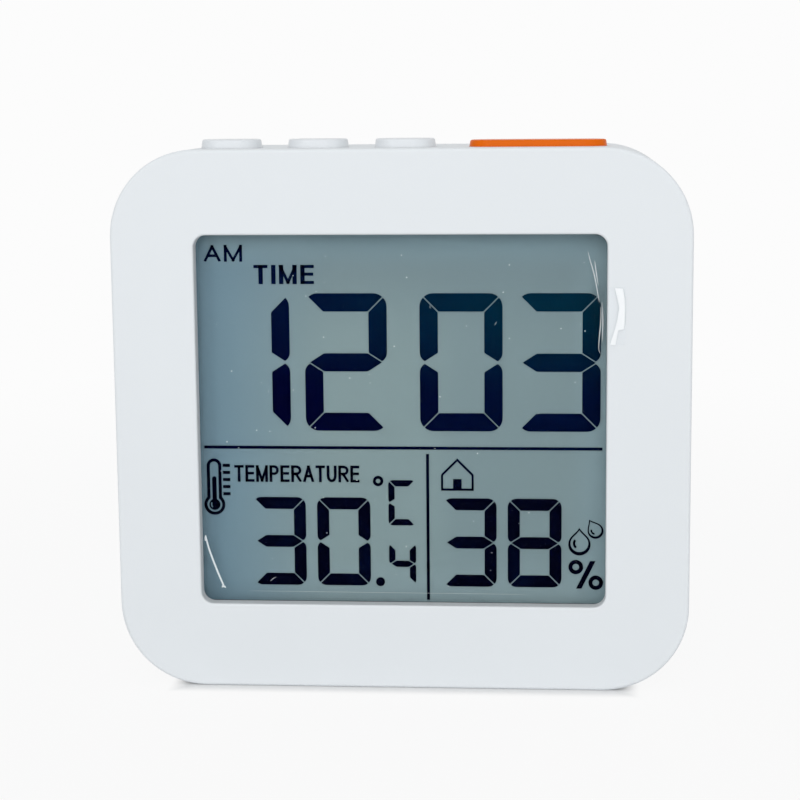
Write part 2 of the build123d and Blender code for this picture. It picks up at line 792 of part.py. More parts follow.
with BuildPart() as display_symbols:
    with BuildSketch(depth_plane(segment_y)):
        with Locations(on_window(bulb_shares)):
            Circle(bulb_radius)
            with Locations((0, (tube_rise - tube_width / 2) / 2)):
                SlotOverall(tube_rise + tube_width / 2, tube_width, rotation=90)
            Circle(bulb_radius - symbol_stroke, mode=Mode.SUBTRACT)
            with Locations((0, (bore_rise - bore_width / 2) / 2)):
                SlotOverall(bore_rise + bore_width / 2, bore_width, rotation=90, mode=Mode.SUBTRACT)
            Circle(column_bulb_radius)
            with Locations((0, column_rise / 2)):
                SlotOverall(column_rise, mark_size(column_width_share), rotation=90)
            add(column_gleam, rotation=gleam_degrees, mode=Mode.SUBTRACT)
            with Locations((tick_x, tick_z)):
                with GridLocations(0, tick_pitch, 1, tick_count):
                    Rectangle(tick_length, symbol_stroke)
    with BuildSketch(depth_plane(segment_y)):
        with Locations(on_window(drop_shares)):
            add(large_drop)
        with Locations(on_window(small_drop_shares)):
            add(small_drop, rotation=small_drop_lean_degrees)
    with BuildSketch(depth_plane(segment_y)):
        with Locations(on_window(percent_shares)):
            for side in (-1, 1):
                with Locations((side * ring_across, -side * ring_up)):
                    Circle(ring_radius)
                    Circle(ring_radius - percent_ring_stroke, mode=Mode.SUBTRACT)
            slash_foot = (-slash_across - percent_slash_width / 2, -slash_up)
            slash_head = (slash_across - percent_slash_width / 2, slash_up)
            ends = [(x + percent_slash_width, z) for x, z in (slash_foot, slash_head)]
            Polygon(slash_foot, *ends, slash_head, align=None)
    with BuildSketch(depth_plane(segment_y)):
        house_x, house_z = on_window(house_shares)
        house_size = mark_size(house_size_share)
        left, right = house_x - house_size / 2, house_x + house_size / 2
        ground, peak = house_z - house_size / 2, house_z + house_size / 2
        eave = ground + house_eave_share * house_size
        roof = ((right, eave), (house_x, peak), (left, eave))
        with BuildLine():
            Polyline((left, ground), (right, ground), *roof, close=True)
        make_face()
        offset(amount=-house_stroke, kind=Kind.INTERSECTION, mode=Mode.SUBTRACT)
        door_width, door_height = [share * house_size for share in house_door_shares]
        with Locations((house_x, ground + door_height / 2)):
            Rectangle(door_width, door_height)
    extrude(amount=-segment_thickness)
keep(display_symbols, "display_symbols")

# Main board with its screws and parts
with BuildPart() as main_board:
    with BuildSketch(depth_plane(board_y)) as board_face:
        with Locations(board_middle):
            Rectangle(board_width, board_height)
        chamfer(board_face.vertices(), board_corner_cut)
        with Locations(*board_boss_places):
            Circle(board_screw_radius + pass_clearance, mode=Mode.SUBTRACT)
    extrude(amount=-board_thickness)
keep(main_board, "main_board")


def cross_screws(places, seat_y, radius, length, head_radius, head_height):
    with BuildPart() as screws:
        with BuildSketch(depth_plane(seat_y)):
            with Locations(*places):
                Circle(head_radius)
        extrude(amount=-head_height)
        with BuildSketch(depth_plane(seat_y)):
            with Locations(*places):
                Circle(radius)
        extrude(amount=length)
        with BuildSketch(depth_plane(seat_y + head_height)):
            with Locations(*places):
                recess = (2 * head_radius * recess_length_share, 2 * head_radius * recess_width_share)
                Rectangle(*recess)
                Rectangle(*recess, rotation=90)
        extrude(amount=head_height * recess_depth_share, mode=Mode.SUBTRACT)
    return screws


board_screw_size = (board_screw_radius, board_screw_length, board_head_radius, board_head_height)
board_screws = cross_screws(board_boss_places, board_rear_y, *board_screw_size)
keep(board_screws, "board_screws")
case_screw_size = (case_screw_radius, case_screw_length, case_head_radius, case_head_height)
case_screws = cross_screws(case_boss_places, rear_y - counterbore_depth, *case_screw_size)
keep(case_screws, "case_screws")

with BuildPart() as chip_cap:
    chip_x, chip_z = on_board(chip_shares)
    with BuildSketch(Plane.XY.offset(chip_z)):
        with BuildLine():
            rim = (chip_x + chip_radius, board_rear_y)
            crown = (chip_x, board_rear_y + chip_height)
            Line(crown, (chip_x, board_rear_y))
            Line((chip_x, board_rear_y), rim)
            TangentArc(crown, rim, tangent=(1, 0))
        make_face()
    revolve(axis=Axis((chip_x, 0, chip_z), (0, 1, 0)))
keep(chip_cap, "chip_cap")

with BuildPart() as timing_crystal:
    crystal_x, crystal_z = on_board(crystal_shares)
    with BuildSketch(Plane.YZ.offset(crystal_x - crystal_length / 2)):
        with Locations((board_rear_y + crystal_gap + crystal_radius, crystal_z)):
            Circle(crystal_radius)
    extrude(amount=crystal_length)
keep(timing_crystal, "timing_crystal")

with BuildPart() as air_sensor:
    with BuildSketch(depth_plane(board_rear_y)):
        with Locations((rear_fitting_x, rear_fitting_z)):
            Rectangle(sensor_size, sensor_size)
    extrude(amount=-sensor_height)
    with BuildSketch(depth_plane(board_rear_y + sensor_height)):
        with Locations((rear_fitting_x, rear_fitting_z)):
            Circle(sensor_port_radius)
    extrude(amount=sensor_port_depth, mode=Mode.SUBTRACT)
keep(air_sensor, "air_sensor")

with BuildPart() as board_parts:
    with BuildSketch(depth_plane(board_rear_y)):
        with Locations(*[on_board(shares) for shares in chip_part_shares]):
            Rectangle(chip_part_length, chip_part_width)
    extrude(amount=-chip_part_height)
keep(board_parts, "board_parts")

with BuildPart() as backlight_leds:
    led_x = -guide_width / 2 - led_room / 2
    with BuildSketch(depth_plane(board_y)):
        with Locations(*[on_window((0, share)) for share in led_height_shares]):
            with Locations((led_x, 0)):
                Rectangle(led_room - 2 * led_gap, led_width)
    extrude(amount=led_height)
keep(backlight_leds, "backlight_leds")

# Key board, its four switches and the pins that join it to the main board
first_pin_x = -pin_pitch * (pin_count - 1) / 2
pin_places = [(first_pin_x + i * pin_pitch, board_rear_y + pin_width / 2) for i in range(pin_count)]
with BuildPart() as key_board:
    with BuildSketch(Plane.XY.offset(key_board_base)):
        with Locations((0, key_y)):
            Rectangle(key_board_length, key_board_depth)
        with Locations(*pin_places):
            Rectangle(pin_width + 2 * pin_clearance, pin_width + 2 * pin_clearance, mode=Mode.SUBTRACT)
    extrude(amount=board_thickness)
keep(key_board, "key_board")

with BuildPart() as board_link_pins:
    with BuildSketch(Plane.XY.offset(holder_top - pin_overlap)):
        with Locations(*pin_places):
            Rectangle(pin_width, pin_width)
    extrude(amount=key_board_top - holder_top + pin_overlap)
keep(board_link_pins, "board_link_pins")

with BuildPart() as key_switches:
    with BuildSketch(Plane.XY.offset(key_board_top)):
        with Locations(*[(x, key_y) for name, x, length, proud in keys]):
            Rectangle(switch_size, switch_size)
    extrude(amount=switch_height)
    with BuildSketch(Plane.XY.offset(switch_top)):
        with Locations(*[(x, key_y) for name, x, length, proud in keys]):
            Circle(plunger_radius + plunger_clearance)
    extrude(amount=-(plunger_depth + key_travel + plunger_clearance), mode=Mode.SUBTRACT)
keep(key_switches, "key_switches")

# Keys: a rounded cap through the top wall, a flange that keeps it in, and a post on its switch
for name, x, length, proud in keys:
    with BuildPart() as plunger:
        with BuildSketch(Plane.XY.offset(switch_top - plunger_depth)):
            with Locations((x, key_y)):
                Circle(plunger_radius)
        extrude(amount=plunger_depth + plunger_proud)
    keep(plunger, f"{name}_plunger")
    with BuildPart() as key:
        with BuildSketch(Plane.XY.offset(flange_base)):
            with Locations((x, key_y)):
                SlotOverall(length, key_breadth)
        extrude(amount=case_height - flange_base)
        extrude(key.faces().sort_by(Axis.Z)[-1], amount=proud, taper=key_draft_degrees)
        fillet(key.faces().sort_by(Axis.Z)[-1].edges(), key_edge_radius)
        with BuildSketch(Plane.XY.offset(flange_base)):
            with Locations((x, key_y)):
                SlotOverall(length + 2 * key_flange_overhang, key_breadth + 2 * key_flange_overhang)
        extrude(amount=key_flange_thickness)
        with BuildSketch(Plane.XY.offset(plunger_top)):
            with Locations((x, key_y)):
                Circle(key_post_radius)
        extrude(amount=flange_base - plunger_top)
    keep(key, f"{name}_key")

# Two cells, head to tail, and the plates that touch them
cell_shift = bay_length / 2 - contact_thickness - cell_slack / 2
for name, z, side in (("upper_cell", upper_cell_z, 1), ("lower_cell", lower_cell_z, -1)):
    with BuildPart() as cell:
        with BuildSketch(Plane.YZ.offset(side * (cell_shift - cell_length))):
            with Locations((cell_y, z)):
                Circle(cell_diameter / 2)
        extrude(amount=side * (cell_length - nub_height))
        fillet(cell.edges().filter_by(GeomType.CIRCLE), cell_edge_radius)
        with BuildSketch(Plane.YZ.offset(side * (cell_shift - nub_height))):
            with Locations((cell_y, z)):
                Circle(nub_radius)
        extrude(amount=side * nub_height)
    keep(cell, name)

for name, z in (("positive_contact", upper_cell_z), ("negative_contact", lower_cell_z)):
    with BuildPart() as contact:
        with BuildSketch(Plane.YZ.offset(bay_length / 2)):
            with Locations((cell_y, z)):
                Rectangle(contact_size, contact_size)
        extrude(amount=-contact_thickness)
        with BuildSketch(Plane.YZ.offset(bay_length / 2)):
            with Locations((cell_y, z)):
                Rectangle(contact_thickness, tail_width)
        extrude(amount=bay_wall + tail_reach)
    keep(contact, name)

with BuildPart() as bridge_contact:
    with BuildSketch(Plane.YZ.offset(-bay_length / 2)):
        with Locations((cell_y, bay_middle[1])):
            Rectangle(contact_size, contact_size + upper_cell_z - lower_cell_z)
    extrude(amount=contact_thickness)
keep(bridge_contact, "bridge_contact")

# Cone springs behind the cells' flat ends: each quarter turn is two arcs that share a tangent
spring_rise = spring_length + cell_slack / 2 - spring_wire - 2 * spring_end_gap
spring_start = bay_length / 2 - contact_thickness - spring_end_gap - spring_wire / 2
quarter_count = round(4 * spring_turns)


def coil_point(share, z, side):
    angle = 2 * pi * spring_turns * share
    radius = spring_large_radius + (spring_small_radius - spring_large_radius) * share
    x = side * (spring_start - spring_rise * share)
    return Vector(x, cell_y + radius * cos(angle), z + radius * sin(angle))


def coil_tangent(share, z, side):
    angle = 2 * pi * spring_turns * share
    radius = spring_large_radius + (spring_small_radius - spring_large_radius) * share
    turn = 2 * pi * spring_turns
    draw_in = spring_small_radius - spring_large_radius
    slope_y = draw_in * cos(angle) - radius * turn * sin(angle)
    slope_z = draw_in * sin(angle) + radius * turn * cos(angle)
    return Vector(-side * spring_rise, slope_y, slope_z).normalized()


def two_arcs(start, leave, end, arrive):
    # Circular arcs that leave start along leave and reach end along arrive
    span = end - start
    both = leave + arrive
    spread = 2 * (1 - leave.dot(arrive))
    along = span.dot(both)
    reach = (sqrt(along**2 + spread * span.dot(span)) - along) / spread
    join = (start + end + (leave - arrive) * reach) / 2
    TangentArc(start, join, tangent=leave)
    TangentArc(join, end, tangent=(end - arrive * reach) - (start + leave * reach))


with BuildPart() as contact_springs:
    for z, side in ((upper_cell_z, -1), (lower_cell_z, 1)):
        with BuildLine() as coil:
            for quarter in range(quarter_count):
                ends = [quarter / quarter_count, (quarter + 1) / quarter_count]
                first, last = [(coil_point(share, z, side), coil_tangent(share, z, side)) for share in ends]
                two_arcs(*first, *last)
        with BuildSketch(Plane(origin=coil.line @ 0, z_dir=coil.line % 0)):
            Circle(spring_wire / 2)
        sweep(path=coil.line)
keep(contact_springs, "contact_springs")

turn_steps = 48
step_count = round(spring_turns * turn_steps)
coil_points = [coil_point(step / step_count, 0, 1) for step in range(step_count + 1)]
coil_gap = min(
    (coil_points[i] - coil_points[j]).length - spring_wire
    for i in range(step_count + 1)
    for j in range(i + turn_steps // 2, step_count + 1)
)
print(f"contact springs: least gap between turns {coil_gap:.2f} mm")

# Battery cover: a flush plate with two hooks at its lower edge and finger grooves at its upper edge
with BuildPart() as battery_cover:
    with BuildSketch(depth_plane(cover_y)):
        with Locations(bay_middle):
            RectangleRounded(cover_width, cover_height, cover_corner_radius - cover_clearance)
    extrude(amount=-cover_thickness)
    chamfer(battery_cover.faces().sort_by(Axis.Y)[-1].edges(), cover_edge_chamfer)
    with BuildSketch(depth_plane(rear_y)):
        with Locations((0, cover_top - grip_inset - grip_pitch * (grip_count - 1) / 2)):
            with GridLocations(0, grip_pitch, 1, grip_count):
                SlotOverall(grip_length, grip_width)
    extrude(amount=grip_depth, mode=Mode.SUBTRACT)
    toe_rear = rear_wall_y - hook_gap
    toe_front = toe_rear - hook_thickness
    for x in hook_places:
        with BuildSketch(Plane.YZ.offset(x - hook_width / 2)):
            with BuildLine():
                Polyline(
                    (cover_y, cover_base + hook_lift),
                    (cover_y, cover_base + hook_rise),
                    (toe_front, cover_base + hook_rise),
                    (toe_front, cover_base - hook_reach),
                    (toe_rear, cover_base - hook_reach),
                    (toe_rear, cover_base + hook_lift),
                    close=True,
                )
            make_face()
        extrude(amount=hook_width)
keep(battery_cover, "battery_cover")

# Sound disc on its seat in the rear shell
with BuildPart() as buzzer_plate:
    with BuildSketch(depth_plane(rear_wall_y - seat_height)):
        with Locations((-rear_fitting_x, rear_fitting_z)):
            Circle(buzzer_radius)
    extrude(amount=buzzer_thickness)
keep(buzzer_plate, "buzzer_plate")

ceramic_y = rear_wall_y - seat_height - buzzer_thickness
with BuildPart() as buzzer_ceramic:
    with BuildSketch(depth_plane(ceramic_y)):
        with Locations((-rear_fitting_x, rear_fitting_z)):
            Circle(ceramic_radius)
    extrude(amount=ceramic_thickness)
keep(buzzer_ceramic, "buzzer_ceramic")


# Wires: straight ends and one slanting run, with rounded bends
def wire_route(start, shift, rise):
    end = Vector(start.X + shift, board_rear_y, start.Z + rise)
    leave = start - Vector(0, wire_end_run, 0)
    arrive = end + Vector(0, wire_end_run, 0)
    with BuildLine() as route:
        FilletPolyline(start, leave, arrive, end, radius=wire_bend)
    return route.line


tail_x = bay_length / 2 + bay_wall + tail_reach / 2
tail_front_y = cell_y - contact_thickness / 2
for name, z in (("positive_wire", upper_cell_z), ("negative_wire", lower_cell_z)):
    start = Vector(tail_x, tail_front_y, z)
    with BuildPart() as wire:
        with BuildSketch(Plane(origin=start, z_dir=(0, -1, 0))):
            Circle(wire_radius)
        sweep(path=wire_route(start, battery_wire_shift, battery_wire_rise))
    keep(wire, name)

with BuildPart() as buzzer_wires:
    for half in (-buzzer_wire_spacing / 2, buzzer_wire_spacing / 2):
        start = Vector(-rear_fitting_x, ceramic_y - ceramic_thickness, rear_fitting_z + half)
        with BuildSketch(Plane(origin=start, z_dir=(0, -1, 0))):
            Circle(wire_radius)
        sweep(path=wire_route(start, buzzer_wire_shift, -buzzer_wire_drop))
keep(buzzer_wires, "buzzer_wires")
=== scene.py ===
import bmesh
import bpy
import json
from math import cos, pi, radians, sin
from mathutils import Matrix, Vector


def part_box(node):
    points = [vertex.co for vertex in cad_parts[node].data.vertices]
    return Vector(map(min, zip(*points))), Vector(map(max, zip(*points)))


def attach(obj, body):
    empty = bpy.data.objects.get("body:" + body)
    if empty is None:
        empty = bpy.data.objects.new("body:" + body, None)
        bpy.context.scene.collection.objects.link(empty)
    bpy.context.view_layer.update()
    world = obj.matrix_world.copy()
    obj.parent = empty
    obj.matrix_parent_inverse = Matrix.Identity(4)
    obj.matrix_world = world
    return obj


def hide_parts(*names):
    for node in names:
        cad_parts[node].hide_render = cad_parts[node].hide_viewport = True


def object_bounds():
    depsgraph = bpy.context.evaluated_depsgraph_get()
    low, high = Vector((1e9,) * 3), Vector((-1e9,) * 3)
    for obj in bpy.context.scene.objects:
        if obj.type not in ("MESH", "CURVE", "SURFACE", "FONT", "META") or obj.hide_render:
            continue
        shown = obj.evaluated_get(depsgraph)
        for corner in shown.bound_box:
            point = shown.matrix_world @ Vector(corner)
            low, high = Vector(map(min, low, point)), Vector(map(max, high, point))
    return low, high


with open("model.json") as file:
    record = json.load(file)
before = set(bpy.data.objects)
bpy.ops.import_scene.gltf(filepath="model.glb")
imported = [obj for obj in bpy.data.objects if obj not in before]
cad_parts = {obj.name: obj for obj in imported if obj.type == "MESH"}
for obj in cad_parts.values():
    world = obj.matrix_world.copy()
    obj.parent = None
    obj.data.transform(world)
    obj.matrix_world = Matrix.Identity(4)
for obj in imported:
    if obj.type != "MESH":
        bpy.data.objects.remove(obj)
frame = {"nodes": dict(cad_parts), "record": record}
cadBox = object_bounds()
nodes = frame["nodes"]
mm = 0.001
print("frame: loaded", len(nodes), "nodes")


# A wrapped socket takes Python's operators, and each expression adds its own Math node
class Wire:
    def __init__(self, finish, socket):
        self.finish = finish
        self.socket = socket

    def calc(self, operation, first, second):
        return self.finish.add("ShaderNodeMath", {"operation": operation}, {0: first, 1: second})

    def __add__(self, other):
        return self.calc("ADD", self, other)

    def __radd__(self, other):
        return self.calc("ADD", other, self)

    def __sub__(self, other):
        return self.calc("SUBTRACT", self, other)

    def __rsub__(self, other):
        return self.calc("SUBTRACT", other, self)

    def __mul__(self, other):
        return self.calc("MULTIPLY", self, other)

    def __rmul__(self, other):
        return self.calc("MULTIPLY", other, self)

    def __truediv__(self, other):
        return self.calc("DIVIDE", self, other)

    def __rtruediv__(self, other):
        return self.calc("DIVIDE", other, self)

    def __pow__(self, other):
        return self.calc("POWER", self, other)

    def over(self, limit):
        return self.calc("GREATER_THAN", self, limit)


# One material: add() makes any node, and the other methods are short names for the usual ones
class Finish:
    def __init__(self, name):
        self.material = bpy.data.materials.new(name)
        self.material.use_nodes = True
        self.tree = self.material.node_tree
        self.tree.nodes.clear()
        self.place = self.add("ShaderNodeTexCoord", output="Object")

    def add(self, kind, settings=None, inputs=None, output=0):
        node = self.tree.nodes.new(kind)
        for name, value in (settings or {}).items():
            setattr(node, name, value)
        for key, value in (inputs or {}).items():
            if isinstance(value, Wire):
                self.tree.links.new(value.socket, node.inputs[key])
            else:
                node.inputs[key].default_value = value
        return Wire(self, node.outputs[output]) if node.outputs else None

    def axes(self):
        split = self.add("ShaderNodeSeparateXYZ", None, {0: self.place})
        return [Wire(self, socket) for socket in split.socket.node.outputs]

    def noise(self, size, detail=2.0):
        inputs = {"Vector": self.place, "Scale": 1 / (size * mm), "Detail": detail}
        return self.add("ShaderNodeTexNoise", None, inputs)

    def ramp(self, value, low, high):
        settings = {"interpolation_type": "SMOOTHSTEP"}
        return self.add("ShaderNodeMapRange", settings, {"Value": value, "From Min": low, "From Max": high})

    def blend(self, factor, first, second):
        return self.add("ShaderNodeMix", {"data_type": "RGBA"}, {0: factor, 6: first, 7: second}, output=2)

    def rays(self, *kinds):
        path = self.add("ShaderNodeLightPath").socket.node.outputs
        seen = Wire(self, path[kinds[0]])
        for kind in kinds[1:]:
            seen = seen.calc("MAXIMUM", seen, Wire(self, path[kind]))
        return seen

    def bump(self, height, depth):
        return self.add("ShaderNodeBump", None, {"Height": height, "Distance": depth * mm})

    def surface(self, **sockets):
        inputs = {name.replace("_", " "): value for name, value in sockets.items()}
        return self.add("ShaderNodeBsdfPrincipled", None, inputs)

    def mixShader(self, factor, first, second):
        return self.add("ShaderNodeMixShader", None, {0: factor, 1: first, 2: second})

    def close(self, shader):
        self.add("ShaderNodeOutputMaterial", None, {"Surface": shader})
        return self.material


def opaque(colour, strength=1.0):
    return (*[channel * strength for channel in colour], 1.0)


noiseMiddle = 0.5

# Moulded plastic: a faint cloud in the colour, a spark-eroded grain and an uneven sheen
caseLook = {"colour": (0.775, 0.808, 0.832), "cloud": 0.014, "cloudSize": 16.0, "grainSize": 0.32,
            "grainDepth": 0.006, "roughness": 0.5, "sheenSwing": 0.12}
keyLook = {"colour": (0.738, 0.765, 0.788), "cloud": 0.012, "cloudSize": 5.0, "grainSize": 0.25,
           "grainDepth": 0.002, "roughness": 0.36, "sheenSwing": 0.10}
snoozeLook = {"colour": (0.770, 0.140, 0.003), "cloud": 0.05, "cloudSize": 4.0, "grainSize": 0.25,
              "grainDepth": 0.002, "roughness": 0.36, "sheenSwing": 0.10, "shine": 0.08}
blackLook = {"colour": (0.022, 0.022, 0.024), "cloud": 0.2, "cloudSize": 4.0, "grainSize": 0.3,
             "grainDepth": 0.004, "roughness": 0.5, "sheenSwing": 0.15}
sealLook = {"colour": (0.10, 0.115, 0.12), "cloud": 0.1, "cloudSize": 3.0, "grainSize": 0.2,
            "grainDepth": 0.003, "roughness": 0.45, "sheenSwing": 0.1}
guideLook = {"colour": (0.78, 0.82, 0.80), "cloud": 0.03, "cloudSize": 9.0, "grainSize": 0.5,
             "grainDepth": 0.004, "roughness": 0.2, "sheenSwing": 0.1}
sheetLook = {"colour": (0.86, 0.86, 0.85), "cloud": 0.03, "cloudSize": 6.0, "grainSize": 0.4,
             "grainDepth": 0.006, "roughness": 0.7, "sheenSwing": 0.1}
ledLook = {"colour": (0.82, 0.72, 0.30), "cloud": 0.08, "cloudSize": 1.0, "grainSize": 0.1,
           "grainDepth": 0.002, "roughness": 0.3, "sheenSwing": 0.1}
sensorLook = {"colour": (0.80, 0.80, 0.77), "cloud": 0.03, "cloudSize": 2.0, "grainSize": 0.15,
              "grainDepth": 0.003, "roughness": 0.55, "sheenSwing": 0.1}
ceramicLook = {"colour": (0.70, 0.70, 0.67), "cloud": 0.06, "cloudSize": 2.5, "grainSize": 0.2,
               "grainDepth": 0.004, "roughness": 0.35, "sheenSwing": 0.15}
redWireLook = {"colour": (0.50, 0.025, 0.02), "cloud": 0.08, "cloudSize": 2.0, "grainSize": 0.2,
               "grainDepth": 0.002, "roughness": 0.4, "sheenSwing": 0.1}
blackWireLook = {"colour": (0.025, 0.025, 0.027), "cloud": 0.1, "cloudSize": 2.0, "grainSize": 0.2,
                 "grainDepth": 0.002, "roughness": 0.4, "sheenSwing": 0.1}


def mouldedFinish(name, look):
    finish = Finish(name)
    cloud = finish.noise(look["cloudSize"], detail=3.0)
    grain = finish.noise(look["grainSize"])
    pale = opaque(look["colour"], 1 + look["cloud"])
    deep = opaque(look["colour"], 1 - look["cloud"])
    sheen = (cloud - noiseMiddle) + (grain - noiseMiddle)
    shader = finish.surface(
        Base_Color=finish.blend(cloud, deep, pale),
        Roughness=look["roughness"] + look["sheenSwing"] * sheen,
        Specular_IOR_Level=look.get("shine", 0.5),
        Normal=finish.bump(grain, look["grainDepth"]),
    )
    return finish.close(shader)


# Clear plates bend light very little and let lamps shine through, and gloss over at a grazing view
lensLook = {"tint": (0.985, 0.995, 0.995), "bend": 1.03, "edgeGloss": 0.5, "smearSize": 14.0,
            "roughness": 0.03}
panelGlassLook = {"tint": (0.98, 0.99, 0.985), "bend": 1.02, "edgeGloss": 0.1, "smearSize": 20.0,
                  "roughness": 0.01}
filmLook = {"tint": (0.99, 0.995, 1.0), "bend": 1.03, "edgeGloss": 0.5, "smearSize": 9.0,
            "roughness": 0.04}
glossLook = {"smearTint": 0.985, "roughness": 0.04, "smearRoughness": 0.06, "falloff": 4.0}


def clearFinish(name, look):
    finish = Finish(name)
    smear = finish.noise(look["smearSize"], detail=4.0)
    pane = finish.surface(
        Base_Color=finish.blend(smear, opaque(look["tint"], glossLook["smearTint"]), opaque(look["tint"])),
        Roughness=look["roughness"] * smear,
        IOR=look["bend"],
        Transmission_Weight=1.0,
    )
    gloss = finish.surface(
        Base_Color=opaque(look["tint"]),
        Metallic=1.0,
        Roughness=glossLook["roughness"] + glossLook["smearRoughness"] * smear,
    )
    facing = finish.add("ShaderNodeLayerWeight", None, {"Blend": 0.5}, output="Facing")
    plate = finish.mixShader(look["edgeGloss"] * facing ** glossLook["falloff"], pane, gloss)
    through = finish.add("ShaderNodeBsdfTransparent")
    return finish.close(finish.mixShader(finish.rays("Is Shadow Ray", "Is Diffuse Ray"), plate, through))


# Whitish film marks: dust specks that stop being clear, and a painted highlight on the folded tab, its fold
# line and the crease and scratch lines, where light catches the clear sheet
foldHighlightLook = {"colour": (0.94, 0.965, 0.98), "alpha": 1.0, "swing": 0.04, "streakSize": 0.5,
             "roughness": 0.35}
foldLineHighlightLook = {"colour": (0.90, 0.97, 0.99), "alpha": 1.0, "swing": 0.06, "streakSize": 0.5,
                "roughness": 0.35}
creaseHighlightLook = {"colour": (0.84, 0.89, 0.91), "alpha": 0.78, "swing": 0.16, "streakSize": 0.8,
              "roughness": 0.4}
dustLook = {"colour": (0.88, 0.94, 0.96), "alpha": 0.90, "swing": 0.30, "streakSize": 0.3,
            "roughness": 0.8}
streakLook = {"contrast": 0.03, "roughness": 0.15, "depth": 0.01}


def dustAndHighlightFinish(name, look):
    finish = Finish(name)
    streak = finish.noise(look["streakSize"], detail=3.0)
    deep = opaque(look["colour"], 1 - streakLook["contrast"])
    pale = opaque(look["colour"], 1 + streakLook["contrast"])
    shader = finish.surface(
        Base_Color=finish.blend(streak, deep, pale),
        Roughness=look["roughness"] + streakLook["roughness"] * streak,
        Alpha=look["alpha"] - look["swing"] * streak,
        Normal=finish.bump(streak, streakLook["depth"]),
    )
    return finish.close(shader)


# Reflecting back of the panel: grey green and deeper at the right, with painted shade of the window's walls
# (darker at the top, darker and bluer at the left) and painted light (paler at the foot and along the left,
# top and right edges)
reflectorLook = {
    "middle": (0.207, 0.289, 0.301), "mottle": 0.05, "mottleSize": 7.0, "roughness": 0.5, "roughSwing": 0.1,
    "lineSize": 0.3, "lineWaver": 0.4, "lineShare": 0.10, "lineShade": 0.92, "lineDepth": 0.002,
    "paintedShadeAndLight": {      # where each shade starts and where it is full
        "right": ((2.0, 9.0), (0.178, 0.254, 0.273)),
        "top": ((46.0, 64.0), (0.152, 0.221, 0.247)),
        "foot": ((19.0, 12.0), (0.232, 0.322, 0.346)),
        "left": ((-8.0, -30.0), (0.132, 0.232, 0.298)),
        "rightPaintedLight": ((22.5, 29.0), (0.236, 0.342, 0.380)),
        "topPaintedLight": ((58.0, 64.5), (0.186, 0.290, 0.335)),
        "leftPaintedLight": ((-26.4, -28.8), (0.208, 0.335, 0.420)),
    },
}


def reflectorFinish(name, look):
    finish = Finish(name)
    acrossX, _, upZ = finish.axes()
    mottle = finish.noise(look["mottleSize"], detail=3.0)
    lineInputs = {"Vector": finish.place, "Scale": 1 / (look["lineSize"] * mm),
                  "Distortion": look["lineWaver"]}
    lines = finish.add("ShaderNodeTexWave", {"bands_direction": "X"}, lineInputs)
    deep = opaque(look["middle"], 1 - look["mottle"])
    pale = opaque(look["middle"], 1 + look["mottle"])
    field = finish.blend(mottle, deep, pale)
    field = finish.blend(look["lineShare"] * lines, field, opaque(look["middle"], look["lineShade"]))
    # painted shade at the top and left and painted light at the foot and edges, laid over the panel's colour
    # by place
    for side, ((start, full), colour) in look["paintedShadeAndLight"].items():
        axis = acrossX if side.startswith(("left", "right")) else upZ
        field = finish.blend(finish.ramp(axis, start * mm, full * mm), field, opaque(colour))
    shader = finish.surface(
        Base_Color=field,
        Roughness=look["roughness"] + look["roughSwing"] * (mottle - noiseMiddle),
        Normal=finish.bump(lines, look["lineDepth"]),
    )
    return finish.close(shader)


# Lit marks of the display: nearly black at the foot, navy above, and greener towards the upper right
inkLook = {
    "foot": (0.0006, 0.0011, 0.0085), "patch": (0.0003, 0.0040, 0.0240),
    "patchSize": 9.0, "patchSpan": (0.45, 0.80), "patchShare": 0.6,
    "middle": ((0.0003, 0.0006, 0.0180), (0.0004, 0.0040, 0.0270)),      # at the left and at the right
    "top": ((0.0006, 0.0036, 0.0280), (0.0008, 0.0215, 0.0440)),
    "middleSpan": (29.0, 36.0), "topSpan": (40.0, 54.0), "sideSpan": (-24.0, 26.0),
    "roughness": 0.45, "roughSwing": 0.1, "fineSize": 0.4,
}


def inkFinish(name, look):
    finish = Finish(name)
    acrossX, _, upZ = finish.axes()
    patch = finish.ramp(finish.noise(look["patchSize"]), *look["patchSpan"])
    fine = finish.noise(look["fineSize"])
    rightward = finish.ramp(acrossX, *[edge * mm for edge in look["sideSpan"]])
    colour = finish.blend(look["patchShare"] * patch, opaque(look["foot"]), opaque(look["patch"]))
    for level in ("middle", "top"):
        upward = finish.ramp(upZ, *[edge * mm for edge in look[level + "Span"]])
        colour = finish.blend(upward, colour, finish.blend(rightward, *map(opaque, look[level])))
    shader = finish.surface(
        Base_Color=colour,
        Roughness=look["roughness"] + look["roughSwing"] * fine,
        Specular_IOR_Level=0.0,
    )
    return finish.close(shader)


# Bare metal: brushed along one axis, with patches that have dulled
steelLook = {"colour": (0.62, 0.62, 0.60), "dull": (0.40, 0.40, 0.39), "patchSize": 1.6,
             "brushSize": 0.12, "roughness": 0.26}
brassLook = {"colour": (0.80, 0.60, 0.25), "dull": (0.52, 0.36, 0.14), "patchSize": 2.4,
             "brushSize": 0.15, "roughness": 0.3}
metalWear = {"patchSpan": (0.4, 0.8), "patchRoughness": 0.2, "brushRoughness": 0.1, "brushDepth": 0.002}


def metalFinish(name, look):
    finish = Finish(name)
    patch = finish.ramp(finish.noise(look["patchSize"], detail=4.0), *metalWear["patchSpan"])
    brush = finish.noise(look["brushSize"])
    wear = metalWear["patchRoughness"] * patch + metalWear["brushRoughness"] * brush
    shader = finish.surface(
        Base_Color=finish.blend(patch, opaque(look["colour"]), opaque(look["dull"])),
        Metallic=1.0,
        Roughness=look["roughness"] + wear,
        Normal=finish.bump(brush, metalWear["brushDepth"]),
    )
    return finish.close(shader)


